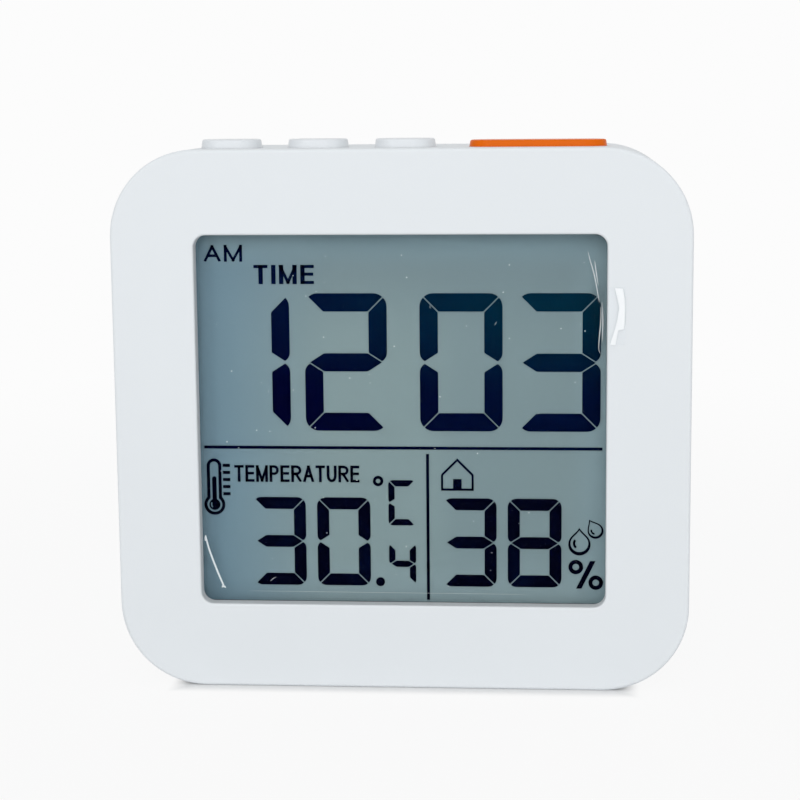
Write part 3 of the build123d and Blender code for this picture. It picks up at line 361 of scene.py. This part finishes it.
# Circuit board: green mask with straight tracks that stand up under it
boardLook = {"mask": (0.030, 0.155, 0.065), "track": (0.055, 0.24, 0.10), "trackSize": 1.1,
             "tracksAbreast": 6.0, "trackEdge": 0.3, "trackHeight": 0.02, "cloudSize": 5.0,
             "roughness": 0.35, "roughSwing": 0.15}


def boardFinish(name, look):
    finish = Finish(name)
    cellSize = look["tracksAbreast"] * look["trackSize"] * mm
    bend = finish.add("ShaderNodeTexVoronoi", {"distance": "MANHATTAN"},
                      {"Vector": finish.place, "Scale": 1 / cellSize})
    stripes = bend.calc("PINGPONG", bend * look["tracksAbreast"], 0.5)
    track = stripes.over(look["trackEdge"])
    cloud = finish.noise(look["cloudSize"], detail=3.0)
    shader = finish.surface(
        Base_Color=finish.blend(track, opaque(look["mask"]), opaque(look["track"])),
        Roughness=look["roughness"] + look["roughSwing"] * cloud,
        Normal=finish.bump(track, look["trackHeight"]),
    )
    return finish.close(shader)


# Layered contact rubber: thin dark leaves between softer red ones
rubberLook = {"soft": (0.30, 0.06, 0.055), "leaf": (0.03, 0.03, 0.03), "leafPitch": 0.4,
              "grainSize": 0.2, "grainDepth": 0.004, "roughness": 0.7, "roughSwing": 0.15}


def rubberFinish(name, look):
    finish = Finish(name)
    acrossX = finish.axes()[0]
    leaf = acrossX.calc("PINGPONG", acrossX, look["leafPitch"] / 2 * mm)
    dark = leaf.over(look["leafPitch"] / 4 * mm)
    grain = finish.noise(look["grainSize"])
    shader = finish.surface(
        Base_Color=finish.blend(dark, opaque(look["soft"]), opaque(look["leaf"])),
        Roughness=look["roughness"] + look["roughSwing"] * grain,
        Normal=finish.bump(grain, look["grainDepth"]),
    )
    return finish.close(shader)


# Cells: a slate sleeve with a pale band at the plus end, over bare steel end caps
cellLook = {"sleeve": (0.060, 0.105, 0.135), "band": (0.52, 0.55, 0.57), "cap": (0.60, 0.60, 0.58),
            "bandShare": 0.12, "bandMetal": 0.7, "capRim": 0.35, "scuffSize": 0.8, "scuffDepth": 0.004,
            "roughness": 0.3, "roughSwing": 0.15}


def cellFinish(node, look):
    finish = Finish(node + "Sleeve")
    low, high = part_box(node)
    side = 1 if abs(high.x) > abs(low.x) else -1      # which end has the plus button
    start, end = (low.x, high.x) if side > 0 else (high.x, low.x)
    acrossX, throughY, upZ = finish.axes()
    along = (acrossX - start) / (end - start)
    radiusSquared = (throughY - (low.y + high.y) / 2) ** 2.0 + (upZ - (low.z + high.z) / 2) ** 2.0
    rim = (high.z - low.z) / 2 - look["capRim"] * mm
    band = along.over(1 - look["bandShare"])
    cap = 1 - radiusSquared.over(rim * rim)
    scuff = finish.noise(look["scuffSize"], detail=4.0)
    colour = finish.blend(band, opaque(look["sleeve"]), opaque(look["band"]))
    shader = finish.surface(
        Base_Color=finish.blend(cap, colour, opaque(look["cap"])),
        Metallic=cap + look["bandMetal"] * band * (1 - cap),
        Roughness=look["roughness"] + look["roughSwing"] * scuff,
        Normal=finish.bump(scuff, look["scuffDepth"]),
    )
    return finish.close(shader)


inkMaterial = inkFinish("displayInk", inkLook)
filmMaterial = clearFinish("screenFilm", filmLook)
finishes = {
    "white_plastic": mouldedFinish("caseWhite", caseLook),
    "key_plastic": mouldedFinish("keyWhite", keyLook),
    "orange_plastic": mouldedFinish("snoozeOrange", snoozeLook),
    "clear_window": clearFinish("windowClear", lensLook),
    "clear_film": filmMaterial,
    "panel_glass": clearFinish("panelGlass", panelGlassLook),
    "panel_back": reflectorFinish("panelReflector", reflectorLook),
    "panel_seal": mouldedFinish("panelSeal", sealLook),
    "dark_segments": inkMaterial,
    "light_guide": mouldedFinish("lightGuide", guideLook),
    "white_sheet": mouldedFinish("reflectorSheet", sheetLook),
    "led_body": mouldedFinish("lampBody", ledLook),
    "black_plastic": mouldedFinish("blackMoulding", blackLook),
    "contact_rubber": rubberFinish("contactRubber", rubberLook),
    "circuit_board": boardFinish("boardMask", boardLook),
    "plated_steel": metalFinish("platedSteel", steelLook),
    "plated_brass": metalFinish("platedBrass", brassLook),
    "sensor_body": mouldedFinish("sensorBody", sensorLook),
    "buzzer_ceramic": mouldedFinish("buzzerDisc", ceramicLook),
    "red_wire": mouldedFinish("redSleeving", redWireLook),
    "black_wire": mouldedFinish("blackSleeving", blackWireLook),
}


def dress(piece, material):
    piece.data.materials.clear()
    piece.data.materials.append(material)


for subpart in frame["record"]["subparts"]:
    nodeName = subpart["node"]
    if subpart["material_slot"] == "battery_can":
        dress(nodes[nodeName], cellFinish(nodeName, cellLook))
    else:
        dress(nodes[nodeName], finishes[subpart["material_slot"]])
print("finishes: dressed", len(nodes), "nodes")


def addPiece(name, mesh, material):
    piece = bpy.data.objects.new(name, mesh)
    bpy.context.scene.collection.objects.link(piece)
    if material:
        dress(piece, material)
    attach(piece, "case")
    return piece


def evaluatedMesh(piece):
    bpy.context.view_layer.update()
    graph = bpy.context.evaluated_depsgraph_get()
    return bpy.data.meshes.new_from_object(piece.evaluated_get(graph), depsgraph=graph)


def meshFrom(name, build):
    shape = bmesh.new()
    build(shape)
    bmesh.ops.recalc_face_normals(shape, faces=shape.faces)
    mesh = bpy.data.meshes.new(name)
    shape.to_mesh(mesh)
    shape.free()
    return mesh


def thicken(shape, faces, depth):
    grown = bmesh.ops.extrude_face_region(shape, geom=faces)
    moved = [item for item in grown["geom"] if isinstance(item, bmesh.types.BMVert)]
    bmesh.ops.translate(shape, verts=moved, vec=(0, depth, 0))


# Letters: heavy stems and lighter bars in a box one unit high and wide, and the letter's true width
roundSide = [(sin(pi * step / 8), cos(pi * step / 8)) for step in range(9)]
bowl = [(0, 1)] + [(0.5 + 0.5 * x, 0.745 + 0.255 * y) for x, y in roundSide] + [(0, 0.49)]
cup = [(0, 1)] + [(0.5 - 0.5 * y, 0.36 - 0.36 * x) for x, y in roundSide] + [(1, 1)]
upright = [(0, 0), (0, 1)]
letterShapes = {
    "A": {"width": 0.62, "stems": [[(0, 0), (0.5, 1)], [(1, 0), (0.5, 1)]],
          "bars": [[(0.2, 0.33), (0.8, 0.33)]]},
    "E": {"width": 0.52, "stems": [upright],
          "bars": [[(0, z), (x, z)] for x, z in ((1, 0), (0.94, 0.52), (1, 1))]},
    "I": {"width": 0.0, "stems": [upright], "bars": []},
    "M": {"width": 0.68, "stems": [upright, [(1, 0), (1, 1)]],
          "bars": [[(0, 1), (0.5, 0)], [(1, 1), (0.5, 0)]]},
    "P": {"width": 0.53, "stems": [upright], "bars": [bowl]},
    "R": {"width": 0.59, "stems": [upright], "bars": [bowl, [(0.45, 0.49), (1, 0)]]},
    "T": {"width": 0.54, "stems": [[(0.5, 0), (0.5, 1)]], "bars": [[(0, 1), (1, 1)]]},
    "U": {"width": 0.57, "stems": [cup], "bars": []},
}
# Words: left and base are measured from the upper left end of the field lines
wordLooks = {
    "morningWord": {"text": "AM", "left": 0.60, "base": 26.05, "width": 5.36, "height": 2.34,
                    "stem": 0.39, "bar": 0.37, "stretch": 1.65, "gap": 0.22},
    "timeWord": {"text": "TIME", "left": 7.53, "base": 22.92, "width": 8.46, "height": 2.66,
                 "stem": 0.60, "bar": 0.43, "stretch": 1.42, "gap": 0.20},
    "temperatureWord": {"text": "TEMPERATURE", "left": 4.20, "base": -5.16, "width": 17.80, "height": 2.38,
                        "stem": 0.38, "bar": 0.36, "stretch": 1.0, "gap": 0.10},
}
mitreLimit = 0.5


def strokeSides(path, half):
    sides = []
    for i, point in enumerate(path):
        first, last = i == 0, i == len(path) - 1
        after = (point - path[i - 1] if last else path[i + 1] - point).normalized()
        before = after if first else (point - path[i - 1]).normalized()
        across = Vector((-before.y - after.y, before.x + after.x)).normalized()
        reach = half / max(across.dot(Vector((-after.y, after.x))), mitreLimit)
        cap = point + after * (half * (last - first))      # the ends run on by half a stroke
        sides.append((cap + across * reach, cap - across * reach))
    return sides


def displayWord(name, look):
    lineLow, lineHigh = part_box("display_lines")
    left = lineLow.x + look["left"] * mm
    base = lineHigh.z + look["base"] * mm
    height, stem = look["height"] * mm, look["stem"] * mm
    widths = [max(letterShapes[letter]["width"] * look["stretch"] * height, stem) for letter in look["text"]]
    total = sum(widths) + look["gap"] * height * (len(widths) - 1)
    squeeze = look["width"] * mm / total

    def drawStroke(shape, path, start, wide, stroke):
        reachX, reachZ = wide - stroke, height - stroke
        points = [Vector((start + stroke / 2 + x * reachX, base + stroke / 2 + z * reachZ)) for x, z in path]
        rows = []
        for pair in strokeSides(points, stroke / 2):
            inside = [(x, lineLow.y, min(max(z, base), base + height)) for x, z in pair]
            rows.append([shape.verts.new(place) for place in inside])
        faces = [shape.faces.new((a[0], a[1], b[1], b[0])) for a, b in zip(rows, rows[1:])]
        thicken(shape, faces, lineHigh.y - lineLow.y)

    def build(shape):
        start = left
        for letter, width in zip(look["text"], widths):
            wide = max(width * squeeze, stem)
            for path in letterShapes[letter]["stems"]:
                drawStroke(shape, path, start, wide, stem)
            for path in letterShapes[letter]["bars"]:
                drawStroke(shape, path, start, wide, look["bar"] * mm)
            start += (width + look["gap"] * height) * squeeze

    return addPiece(name, meshFrom(name, build), inkMaterial)


for wordName, wordLook in wordLooks.items():
    displayWord(wordName, wordLook)
print("words: set", len(wordLooks), "legends on the panel")


# Film: a clear sheet on the lens, whose side tab climbs over the window's lip and lies folded on the bezel
filmShape = {"cornerRadius": 1.3, "cornerSteps": 8, "thickness": 0.08, "lift": 0.1, "creaseStand": 0.02}
tabShape = {
    "drop": 14.66, "height": 7.9, "rootInset": 1.7, "rows": 9, "thickness": 0.03,
    "waver": 0.04, "waves": 5.0, "fullWaverRise": 0.5,
    "run": ((0.0, 0.02), (0.95, 0.75), (1.75, 1.72), (2.25, 2.06), (2.75, 2.08), (4.55, 2.11)),
}
foldShape = {      # left and right ends of the bright folded strip's rows, from the tab's outer lower corner
    "rows": (((-1.62, 7.79), (-0.50, 7.72)), ((-1.25, 6.40), (-0.28, 6.60)), ((-0.98, 5.10), (-0.20, 5.10)),
             ((-1.22, 3.50), (-0.22, 3.50)), ((-1.50, 2.30), (-0.30, 2.20)), ((-1.62, 1.95), (-1.10, 2.00)),
             ((-2.20, 0.02), (-1.45, 0.0))),
    "stand": 2.15, "waver": 0.02, "thickness": 0.03,
}
filmLow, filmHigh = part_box("screen_film")
sheetFront = filmHigh.y - filmShape["lift"] * mm


def filmSheet(shape):
    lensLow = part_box("window_lens")[0]
    radius = filmShape["cornerRadius"] * mm
    halfWidth = -filmLow.x
    corners = [(halfWidth, filmHigh.z, 0), (-halfWidth, filmHigh.z, 1), (-halfWidth, filmLow.z, 2),
               (halfWidth, filmLow.z, 3)]
    ring = []
    for x, z, quarter in corners:
        centreX = x - radius if x > 0 else x + radius
        centreZ = z - radius if quarter < 2 else z + radius
        for step in range(filmShape["cornerSteps"] + 1):
            angle = (quarter + step / filmShape["cornerSteps"]) * pi / 2
            place = (centreX + radius * cos(angle), sheetFront, centreZ + radius * sin(angle))
            ring.append(shape.verts.new(place))
    thicken(shape, [shape.faces.new(ring)], filmShape["thickness"] * mm)
    tabLow = filmHigh.z - tabShape["drop"] * mm
    rows = tabShape["rows"]
    tabHeight = tabShape["height"] * mm
    grid = []
    for row in range(rows):
        share = row / (rows - 1)
        z = tabLow + share * tabHeight
        waver = tabShape["waver"] * mm * sin(tabShape["waves"] * share)
        line = []
        for run, rise in tabShape["run"]:
            x = halfWidth - tabShape["rootInset"] * mm + run * mm
            y = lensLow.y - rise * mm + waver * min(rise, tabShape["fullWaverRise"])
            line.append(shape.verts.new((x, y, z)))
        grid.append(line)
    faces = []
    for lower, upper in zip(grid, grid[1:]):
        for i in range(len(lower) - 1):
            faces.append(shape.faces.new((lower[i], lower[i + 1], upper[i + 1], upper[i])))
    thicken(shape, faces, -tabShape["thickness"] * mm)


def foldedTab(shape):
    corner = Vector((filmHigh.x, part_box("window_lens")[0].y, filmHigh.z - tabShape["drop"] * mm))
    rows = []
    for i, row in enumerate(foldShape["rows"]):
        y = corner.y - (foldShape["stand"] + foldShape["waver"] * (i % 2)) * mm
        rows.append([shape.verts.new((corner.x + x * mm, y, corner.z + z * mm)) for x, z in row])
    faces = [shape.faces.new((a[0], a[1], b[1], b[0])) for a, b in zip(rows, rows[1:])]
    thicken(shape, faces, -foldShape["thickness"] * mm)


film = addPiece("screenFilm", meshFrom("screenFilm", filmSheet), filmMaterial)
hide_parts("screen_film")
# the folded tab's opaque whitish colour is a painted highlight
foldHighlightMaterial = dustAndHighlightFinish("foldedFilmHighlight", foldHighlightLook)
addPiece("filmTabFold", meshFrom("filmTabFold", foldedTab), foldHighlightMaterial)
print("film: laid the sheet and its folded tab")


# Geometry Nodes: a tree from named inputs, a chain of nodes, then a plain mesh
class NodeTree:
    def __init__(self, name, inputs):
        self.tree = bpy.data.node_groups.new(name, "GeometryNodeTree")
        self.tree.interface.new_socket("Geometry", in_out="INPUT", socket_type="NodeSocketGeometry")
        self.tree.interface.new_socket("Geometry", in_out="OUTPUT", socket_type="NodeSocketGeometry")
        self.identifiers = {}
        for inputName, kind in inputs.items():
            socket = self.tree.interface.new_socket(inputName, in_out="INPUT",
                                                    socket_type="NodeSocket" + kind)
            self.identifiers[inputName] = socket.identifier
        self.given = self.tree.nodes.new("NodeGroupInput").outputs

    def add(self, kind, settings=None, inputs=None):
        node = self.tree.nodes.new(kind)
        for name, value in (settings or {}).items():
            setattr(node, name, value)
        for key, value in (inputs or {}).items():
            if isinstance(value, bpy.types.NodeSocket):
                self.tree.links.new(value, node.inputs[key])
            else:
                node.inputs[key].default_value = value
        return node.outputs

    def end(self, geometry):
        plain = self.add("GeometryNodeRealizeInstances", None, {0: geometry})
        dressed = self.add("GeometryNodeSetMaterial", None,
                           {0: plain[0], "Material": self.given["Material"]})
        self.add("NodeGroupOutput", None, {0: dressed[0]})

    def make(self, name, mesh, values):
        carrier = bpy.data.objects.new(name + "Carrier", mesh)
        bpy.context.scene.collection.objects.link(carrier)
        modifier = carrier.modifiers.new(name, "NODES")
        modifier.node_group = self.tree
        for inputName, value in values.items():
            modifier[self.identifiers[inputName]] = value
        made = evaluatedMesh(carrier)
        carrier.modifiers.remove(modifier)
        bpy.data.objects.remove(carrier)
        return made


# Creases: a path of points becomes a smooth ridge that thins out at both ends
creaseTree = NodeTree("filmCreases", {"Radius": "Float", "Taper": "Float", "Spacing": "Float",
                                      "Material": "Material"})
pathCurve = creaseTree.add("GeometryNodeMeshToCurve", None, {0: creaseTree.given["Geometry"]})
smoothCurve = creaseTree.add("GeometryNodeCurveSplineType", {"spline_type": "CATMULL_ROM"},
                             {0: pathCurve[0]})
evenCurve = creaseTree.add("GeometryNodeResampleCurve", {"mode": "LENGTH"},
                           {0: smoothCurve[0], "Length": creaseTree.given["Spacing"]})
alongCurve = creaseTree.add("GeometryNodeSplineParameter")
endDistance = creaseTree.add("ShaderNodeMath", {"operation": "PINGPONG"}, {0: alongCurve["Factor"], 1: 0.5})
swell = creaseTree.add("ShaderNodeMath", {"operation": "POWER"},
                       {0: endDistance[0], 1: creaseTree.given["Taper"]})
ridgeRadius = creaseTree.add("ShaderNodeMath", {"operation": "MULTIPLY"},
                             {0: swell[0], 1: creaseTree.given["Radius"]})
ridgeProfile = creaseTree.add("GeometryNodeCurvePrimitiveCircle", None, {"Resolution": 6, "Radius": 1.0})
ridges = creaseTree.add("GeometryNodeCurveToMesh", None,
                        {"Curve": evenCurve[0], "Profile Curve": ridgeProfile[0], "Scale": ridgeRadius[0],
                         "Fill Caps": True})
creaseTree.end(ridges[0])

creaseLooks = {     # paths are measured from the film's upper right or lower left corner
    "filmCreases": {"corner": "upperRight", "radius": 0.12, "taper": 0.4, "spacing": 0.3, "paths": (
        ((-2.28, -1.95), (-1.90, -3.42), (-1.38, -5.20), (-0.96, -7.30), (-0.64, -9.18)),
        ((-0.30, -8.90), (-0.16, -11.4), (-0.22, -14.6)),
        ((-0.47, -9.55), (-0.43, -11.48), (-0.70, -15.21), (-0.43, -16.15)),
        ((-1.34, -3.21), (-1.07, -5.16), (-0.80, -6.81)))},
    "filmFold": {"corner": "lowerLeft", "radius": 0.14, "taper": 0.03, "spacing": 0.2, "paths": (
        ((-0.02, 9.10), (0.14, 8.40), (0.62, 6.60), (1.62, 3.80), (2.36, 1.95), (2.50, 1.40)),
        ((0.00, 8.95), (-0.02, 8.40), (-0.04, 8.15)),
        ((0.10, 8.60), (0.14, 8.30), (0.16, 8.10)),
        ((2.34, 1.90), (2.26, 1.60), (2.20, 1.38)),
        ((2.44, 1.80), (2.62, 1.55), (2.78, 1.38)))},
    "filmScratches": {"corner": "lowerLeft", "radius": 0.045, "taper": 0.3, "spacing": 0.2, "paths": (
        ((9.10, 2.43), (9.50, 2.80), (10.0, 3.10)),
        ((41.0, 38.9), (41.15, 39.2), (41.3, 39.5)),
        ((32.1, 41.2), (32.1, 41.5), (32.12, 41.8)))},
    "filmEdge": {"corner": "lowerLeft", "radius": 0.016, "taper": 0.1, "spacing": 2.0, "paths": (
        ((5.5, 1.02), (16.0, 1.00), (30.0, 0.96), (46.0, 0.92)),)},
}
# the whitish crease, scratch and fold line colours are a painted highlight
creaseHighlightMaterial = dustAndHighlightFinish("filmCrease", creaseHighlightLook)
foldLineHighlightMaterial = dustAndHighlightFinish("filmFoldLineHighlight", foldLineHighlightLook)
creaseFront = sheetFront - filmShape["creaseStand"] * mm
filmCorners = {"upperRight": (-filmLow.x, filmHigh.z), "lowerLeft": (filmLow.x, filmLow.z)}
for creaseName, look in creaseLooks.items():
    cornerX, cornerZ = filmCorners[look["corner"]]
    pathMesh = bpy.data.meshes.new(creaseName + "Paths")
    points, edges = [], []
    for path in look["paths"]:
        edges += [(len(points) + i, len(points) + i + 1) for i in range(len(path) - 1)]
        points += [(cornerX + x * mm, creaseFront, cornerZ + z * mm) for x, z in path]
    pathMesh.from_pydata(points, edges, [])
    material = foldLineHighlightMaterial if creaseName == "filmFold" else creaseHighlightMaterial
    values = {"Radius": look["radius"] * mm, "Taper": look["taper"], "Spacing": look["spacing"] * mm,
              "Material": material}
    addPiece(creaseName, creaseTree.make(creaseName, pathMesh, values), None)
print("film: pressed", len(creaseLooks), "sets of creases")

# Dust: specks scattered over the film, each squashed and turned its own way
dustShape = {"perSquareMetre": 22000.0, "smallest": 0.04, "largest": 0.105, "margin": 1.2, "turn": 6.0,
             "seed": 11, "sizeSeed": 3, "turnSeed": 5}
dustTree = NodeTree("filmDust", {"Density": "Float", "Seed": "Int", "Smallest": "Float", "Largest": "Float",
                                 "Material": "Material"})
dustPoints = dustTree.add("GeometryNodeDistributePointsOnFaces", None,
                          {0: dustTree.given["Geometry"], "Density": dustTree.given["Density"],
                           "Seed": dustTree.given["Seed"]})
speck = dustTree.add("GeometryNodeMeshIcoSphere", None, {"Radius": 1.0, "Subdivisions": 1})
speckSize = dustTree.add("FunctionNodeRandomValue", {"data_type": "FLOAT"},
                         {2: dustTree.given["Smallest"], 3: dustTree.given["Largest"],
                          "Seed": dustShape["sizeSeed"]})
speckTurn = dustTree.add("FunctionNodeRandomValue", {"data_type": "FLOAT_VECTOR"},
                         {0: (0.0, 0.0, 0.0), 1: [dustShape["turn"]] * 3, "Seed": dustShape["turnSeed"]})
specks = dustTree.add("GeometryNodeInstanceOnPoints", None,
                      {"Points": dustPoints[0], "Instance": speck[0], "Rotation": speckTurn[0],
                       "Scale": speckSize[1]})
dustTree.end(specks[0])
dustMesh = bpy.data.meshes.new("filmDustField")
edge = dustShape["margin"] * mm
fieldX = (filmLow.x + edge, -filmLow.x - edge)
fieldZ = (filmLow.z + edge, filmHigh.z - edge)
fieldCorners = [(fieldX[0], fieldZ[0]), (fieldX[1], fieldZ[0]), (fieldX[1], fieldZ[1]),
                (fieldX[0], fieldZ[1])]
dustMesh.from_pydata([(x, sheetFront, z) for x, z in fieldCorners], [], [(0, 1, 2, 3)])
dustValues = {"Density": dustShape["perSquareMetre"], "Seed": dustShape["seed"],
              "Smallest": dustShape["smallest"] * mm, "Largest": dustShape["largest"] * mm,
              "Material": dustAndHighlightFinish("filmDust", dustLook)}
dust = addPiece("filmDust", dustTree.make("filmDust", dustMesh, dustValues), None)
print("film: scattered dust,", len(dust.data.polygons), "faces")

# Floor and daylight: the camera sees a white sweep, the floor keeps a soft shadow, and a painted contact
# shade darkens a thin band along the foot of the case
stageLook = {
    "white": 0.973, "floorColour": 0.82, "floorSize": 4.0,
    "shadowShare": 0.06, "shadowCore": 0.08, "shadowReach": 0.32,
    "paintedContactShadeShare": 0.9, "paintedContactShadeReach": 0.0035, "footInset": 0.010,
    "skyLight": 0.60, "skyColour": (0.97, 0.985, 1.0),
}
plainWhite = (1, 1, 1)
seenRays = ("Is Camera Ray", "Is Glossy Ray", "Is Transmission Ray")


def makeFloor(look):
    edge = look["floorSize"] / 2
    corners = [(-edge, -edge, 0), (edge, -edge, 0), (edge, edge, 0), (-edge, edge, 0)]
    mesh = bpy.data.meshes.new("floor")
    mesh.from_pydata(corners, [], [(0, 1, 2, 3)])
    floor = bpy.data.objects.new("floor", mesh)
    bpy.context.scene.collection.objects.link(floor)
    finish = Finish("floorPaper")
    paper = finish.add("ShaderNodeBsdfDiffuse", None, {"Color": opaque(plainWhite, look["floorColour"])})
    glow = finish.add("ShaderNodeEmission", None, {"Color": opaque(plainWhite, look["white"])})
    fromMiddle = finish.add("ShaderNodeVectorMath", {"operation": "LENGTH"}, {0: finish.place},
                            output="Value")
    wide = look["shadowShare"] * finish.ramp(fromMiddle, look["shadowReach"], look["shadowCore"])
    acrossX, throughY, _ = finish.axes()
    footX, footY = cadBox[1].x - look["footInset"], cadBox[1].y
    besideX, besideY = [      # how far a point lies outside the foot of the case
        finish.add("ShaderNodeMath", {"operation": "ABSOLUTE"}, {0: axis}) - half
        for axis, half in ((acrossX, footX), (throughY, footY))
    ]
    beside = besideX.calc("MAXIMUM", besideX, besideY)
    # near the foot more of the darker paper shows: the real shadow there, plus a painted contact shade where
    # the paper is darker than the white
    shadow = wide + look["paintedContactShadeShare"] * finish.ramp(beside, look["paintedContactShadeReach"], 0.0)
    share = finish.rays(*seenRays) * (1 - shadow)
    dress(floor, finish.close(finish.mixShader(share, paper, glow)))


class SkyFinish(Finish):
    def __init__(self, world):
        self.tree = world.node_tree
        self.tree.nodes.clear()


def makeSky(look):
    world = bpy.data.worlds.new("studioSky")
    world.use_nodes = True
    bpy.context.scene.world = world
    finish = SkyFinish(world)
    light = finish.add("ShaderNodeBackground", None,
                       {"Color": opaque(look["skyColour"]), "Strength": look["skyLight"]})
    white = finish.add("ShaderNodeBackground", None,
                       {"Color": opaque(plainWhite), "Strength": look["white"]})
    shown = finish.mixShader(finish.rays(*seenRays), light, white)
    finish.add("ShaderNodeOutputWorld", None, {"Surface": shown})


lampLooks = {
    "softKey": {"place": (-0.25, -1.00, 0.42), "size": 0.80, "power": 3.90},
    "softFill": {"place": (0.65, -0.85, 0.10), "size": 0.60, "power": 2.05},
    "softTop": {"place": (0.0, -0.30, 0.95), "size": 0.60, "power": 0.45},
}


def makeLamp(name, look):
    lamp = bpy.data.lights.new(name, "AREA")
    lamp.shape = "SQUARE"
    lamp.size = look["size"]
    lamp.energy = look["power"]
    holder = bpy.data.objects.new(name, lamp)
    bpy.context.scene.collection.objects.link(holder)
    aim = (cadBox[0] + cadBox[1]) / 2
    holder.location = look["place"]
    holder.rotation_euler = (aim - Vector(look["place"])).to_track_quat("-Z", "Y").to_euler()


makeFloor(stageLook)
makeSky(stageLook)
for lampName, lampLook in lampLooks.items():
    makeLamp(lampName, lampLook)
print("studio: floor, sky and", len(lampLooks), "lamps")

# Camera: where the photograph was taken from, looking a little down and to the left
cameraLook = {"place": (0.023106, -0.280846, 0.082373), "down": 8.744, "left": 4.324, "roll": -0.456,
              "lens": 88.65, "sensor": 36.0, "shiftX": -0.0259, "shiftY": 0.0007, "clipStart": 0.02}


def makeCamera(look):
    down, left, roll = [radians(look[key]) for key in ("down", "left", "roll")]
    ahead = Vector((-sin(left) * cos(down), cos(left) * cos(down), -sin(down)))
    levelRight = Vector((cos(left), sin(left), 0))
    levelUp = levelRight.cross(ahead)
    right = cos(roll) * levelRight + sin(roll) * levelUp
    up = cos(roll) * levelUp - sin(roll) * levelRight
    camera = bpy.data.cameras.new("deskCamera")
    camera.lens = look["lens"]
    camera.sensor_width = look["sensor"]
    camera.shift_x = look["shiftX"]
    camera.shift_y = look["shiftY"]
    camera.clip_start = look["clipStart"]
    holder = bpy.data.objects.new("deskCamera", camera)
    bpy.context.scene.collection.objects.link(holder)
    turn = Matrix((right, up, -ahead)).transposed()
    holder.matrix_world = Matrix.Translation(look["place"]) @ turn.to_4x4()
    bpy.context.scene.camera = holder


makeCamera(cameraLook)
bpy.context.scene.view_settings.view_transform = "Standard"
print("camera: set")
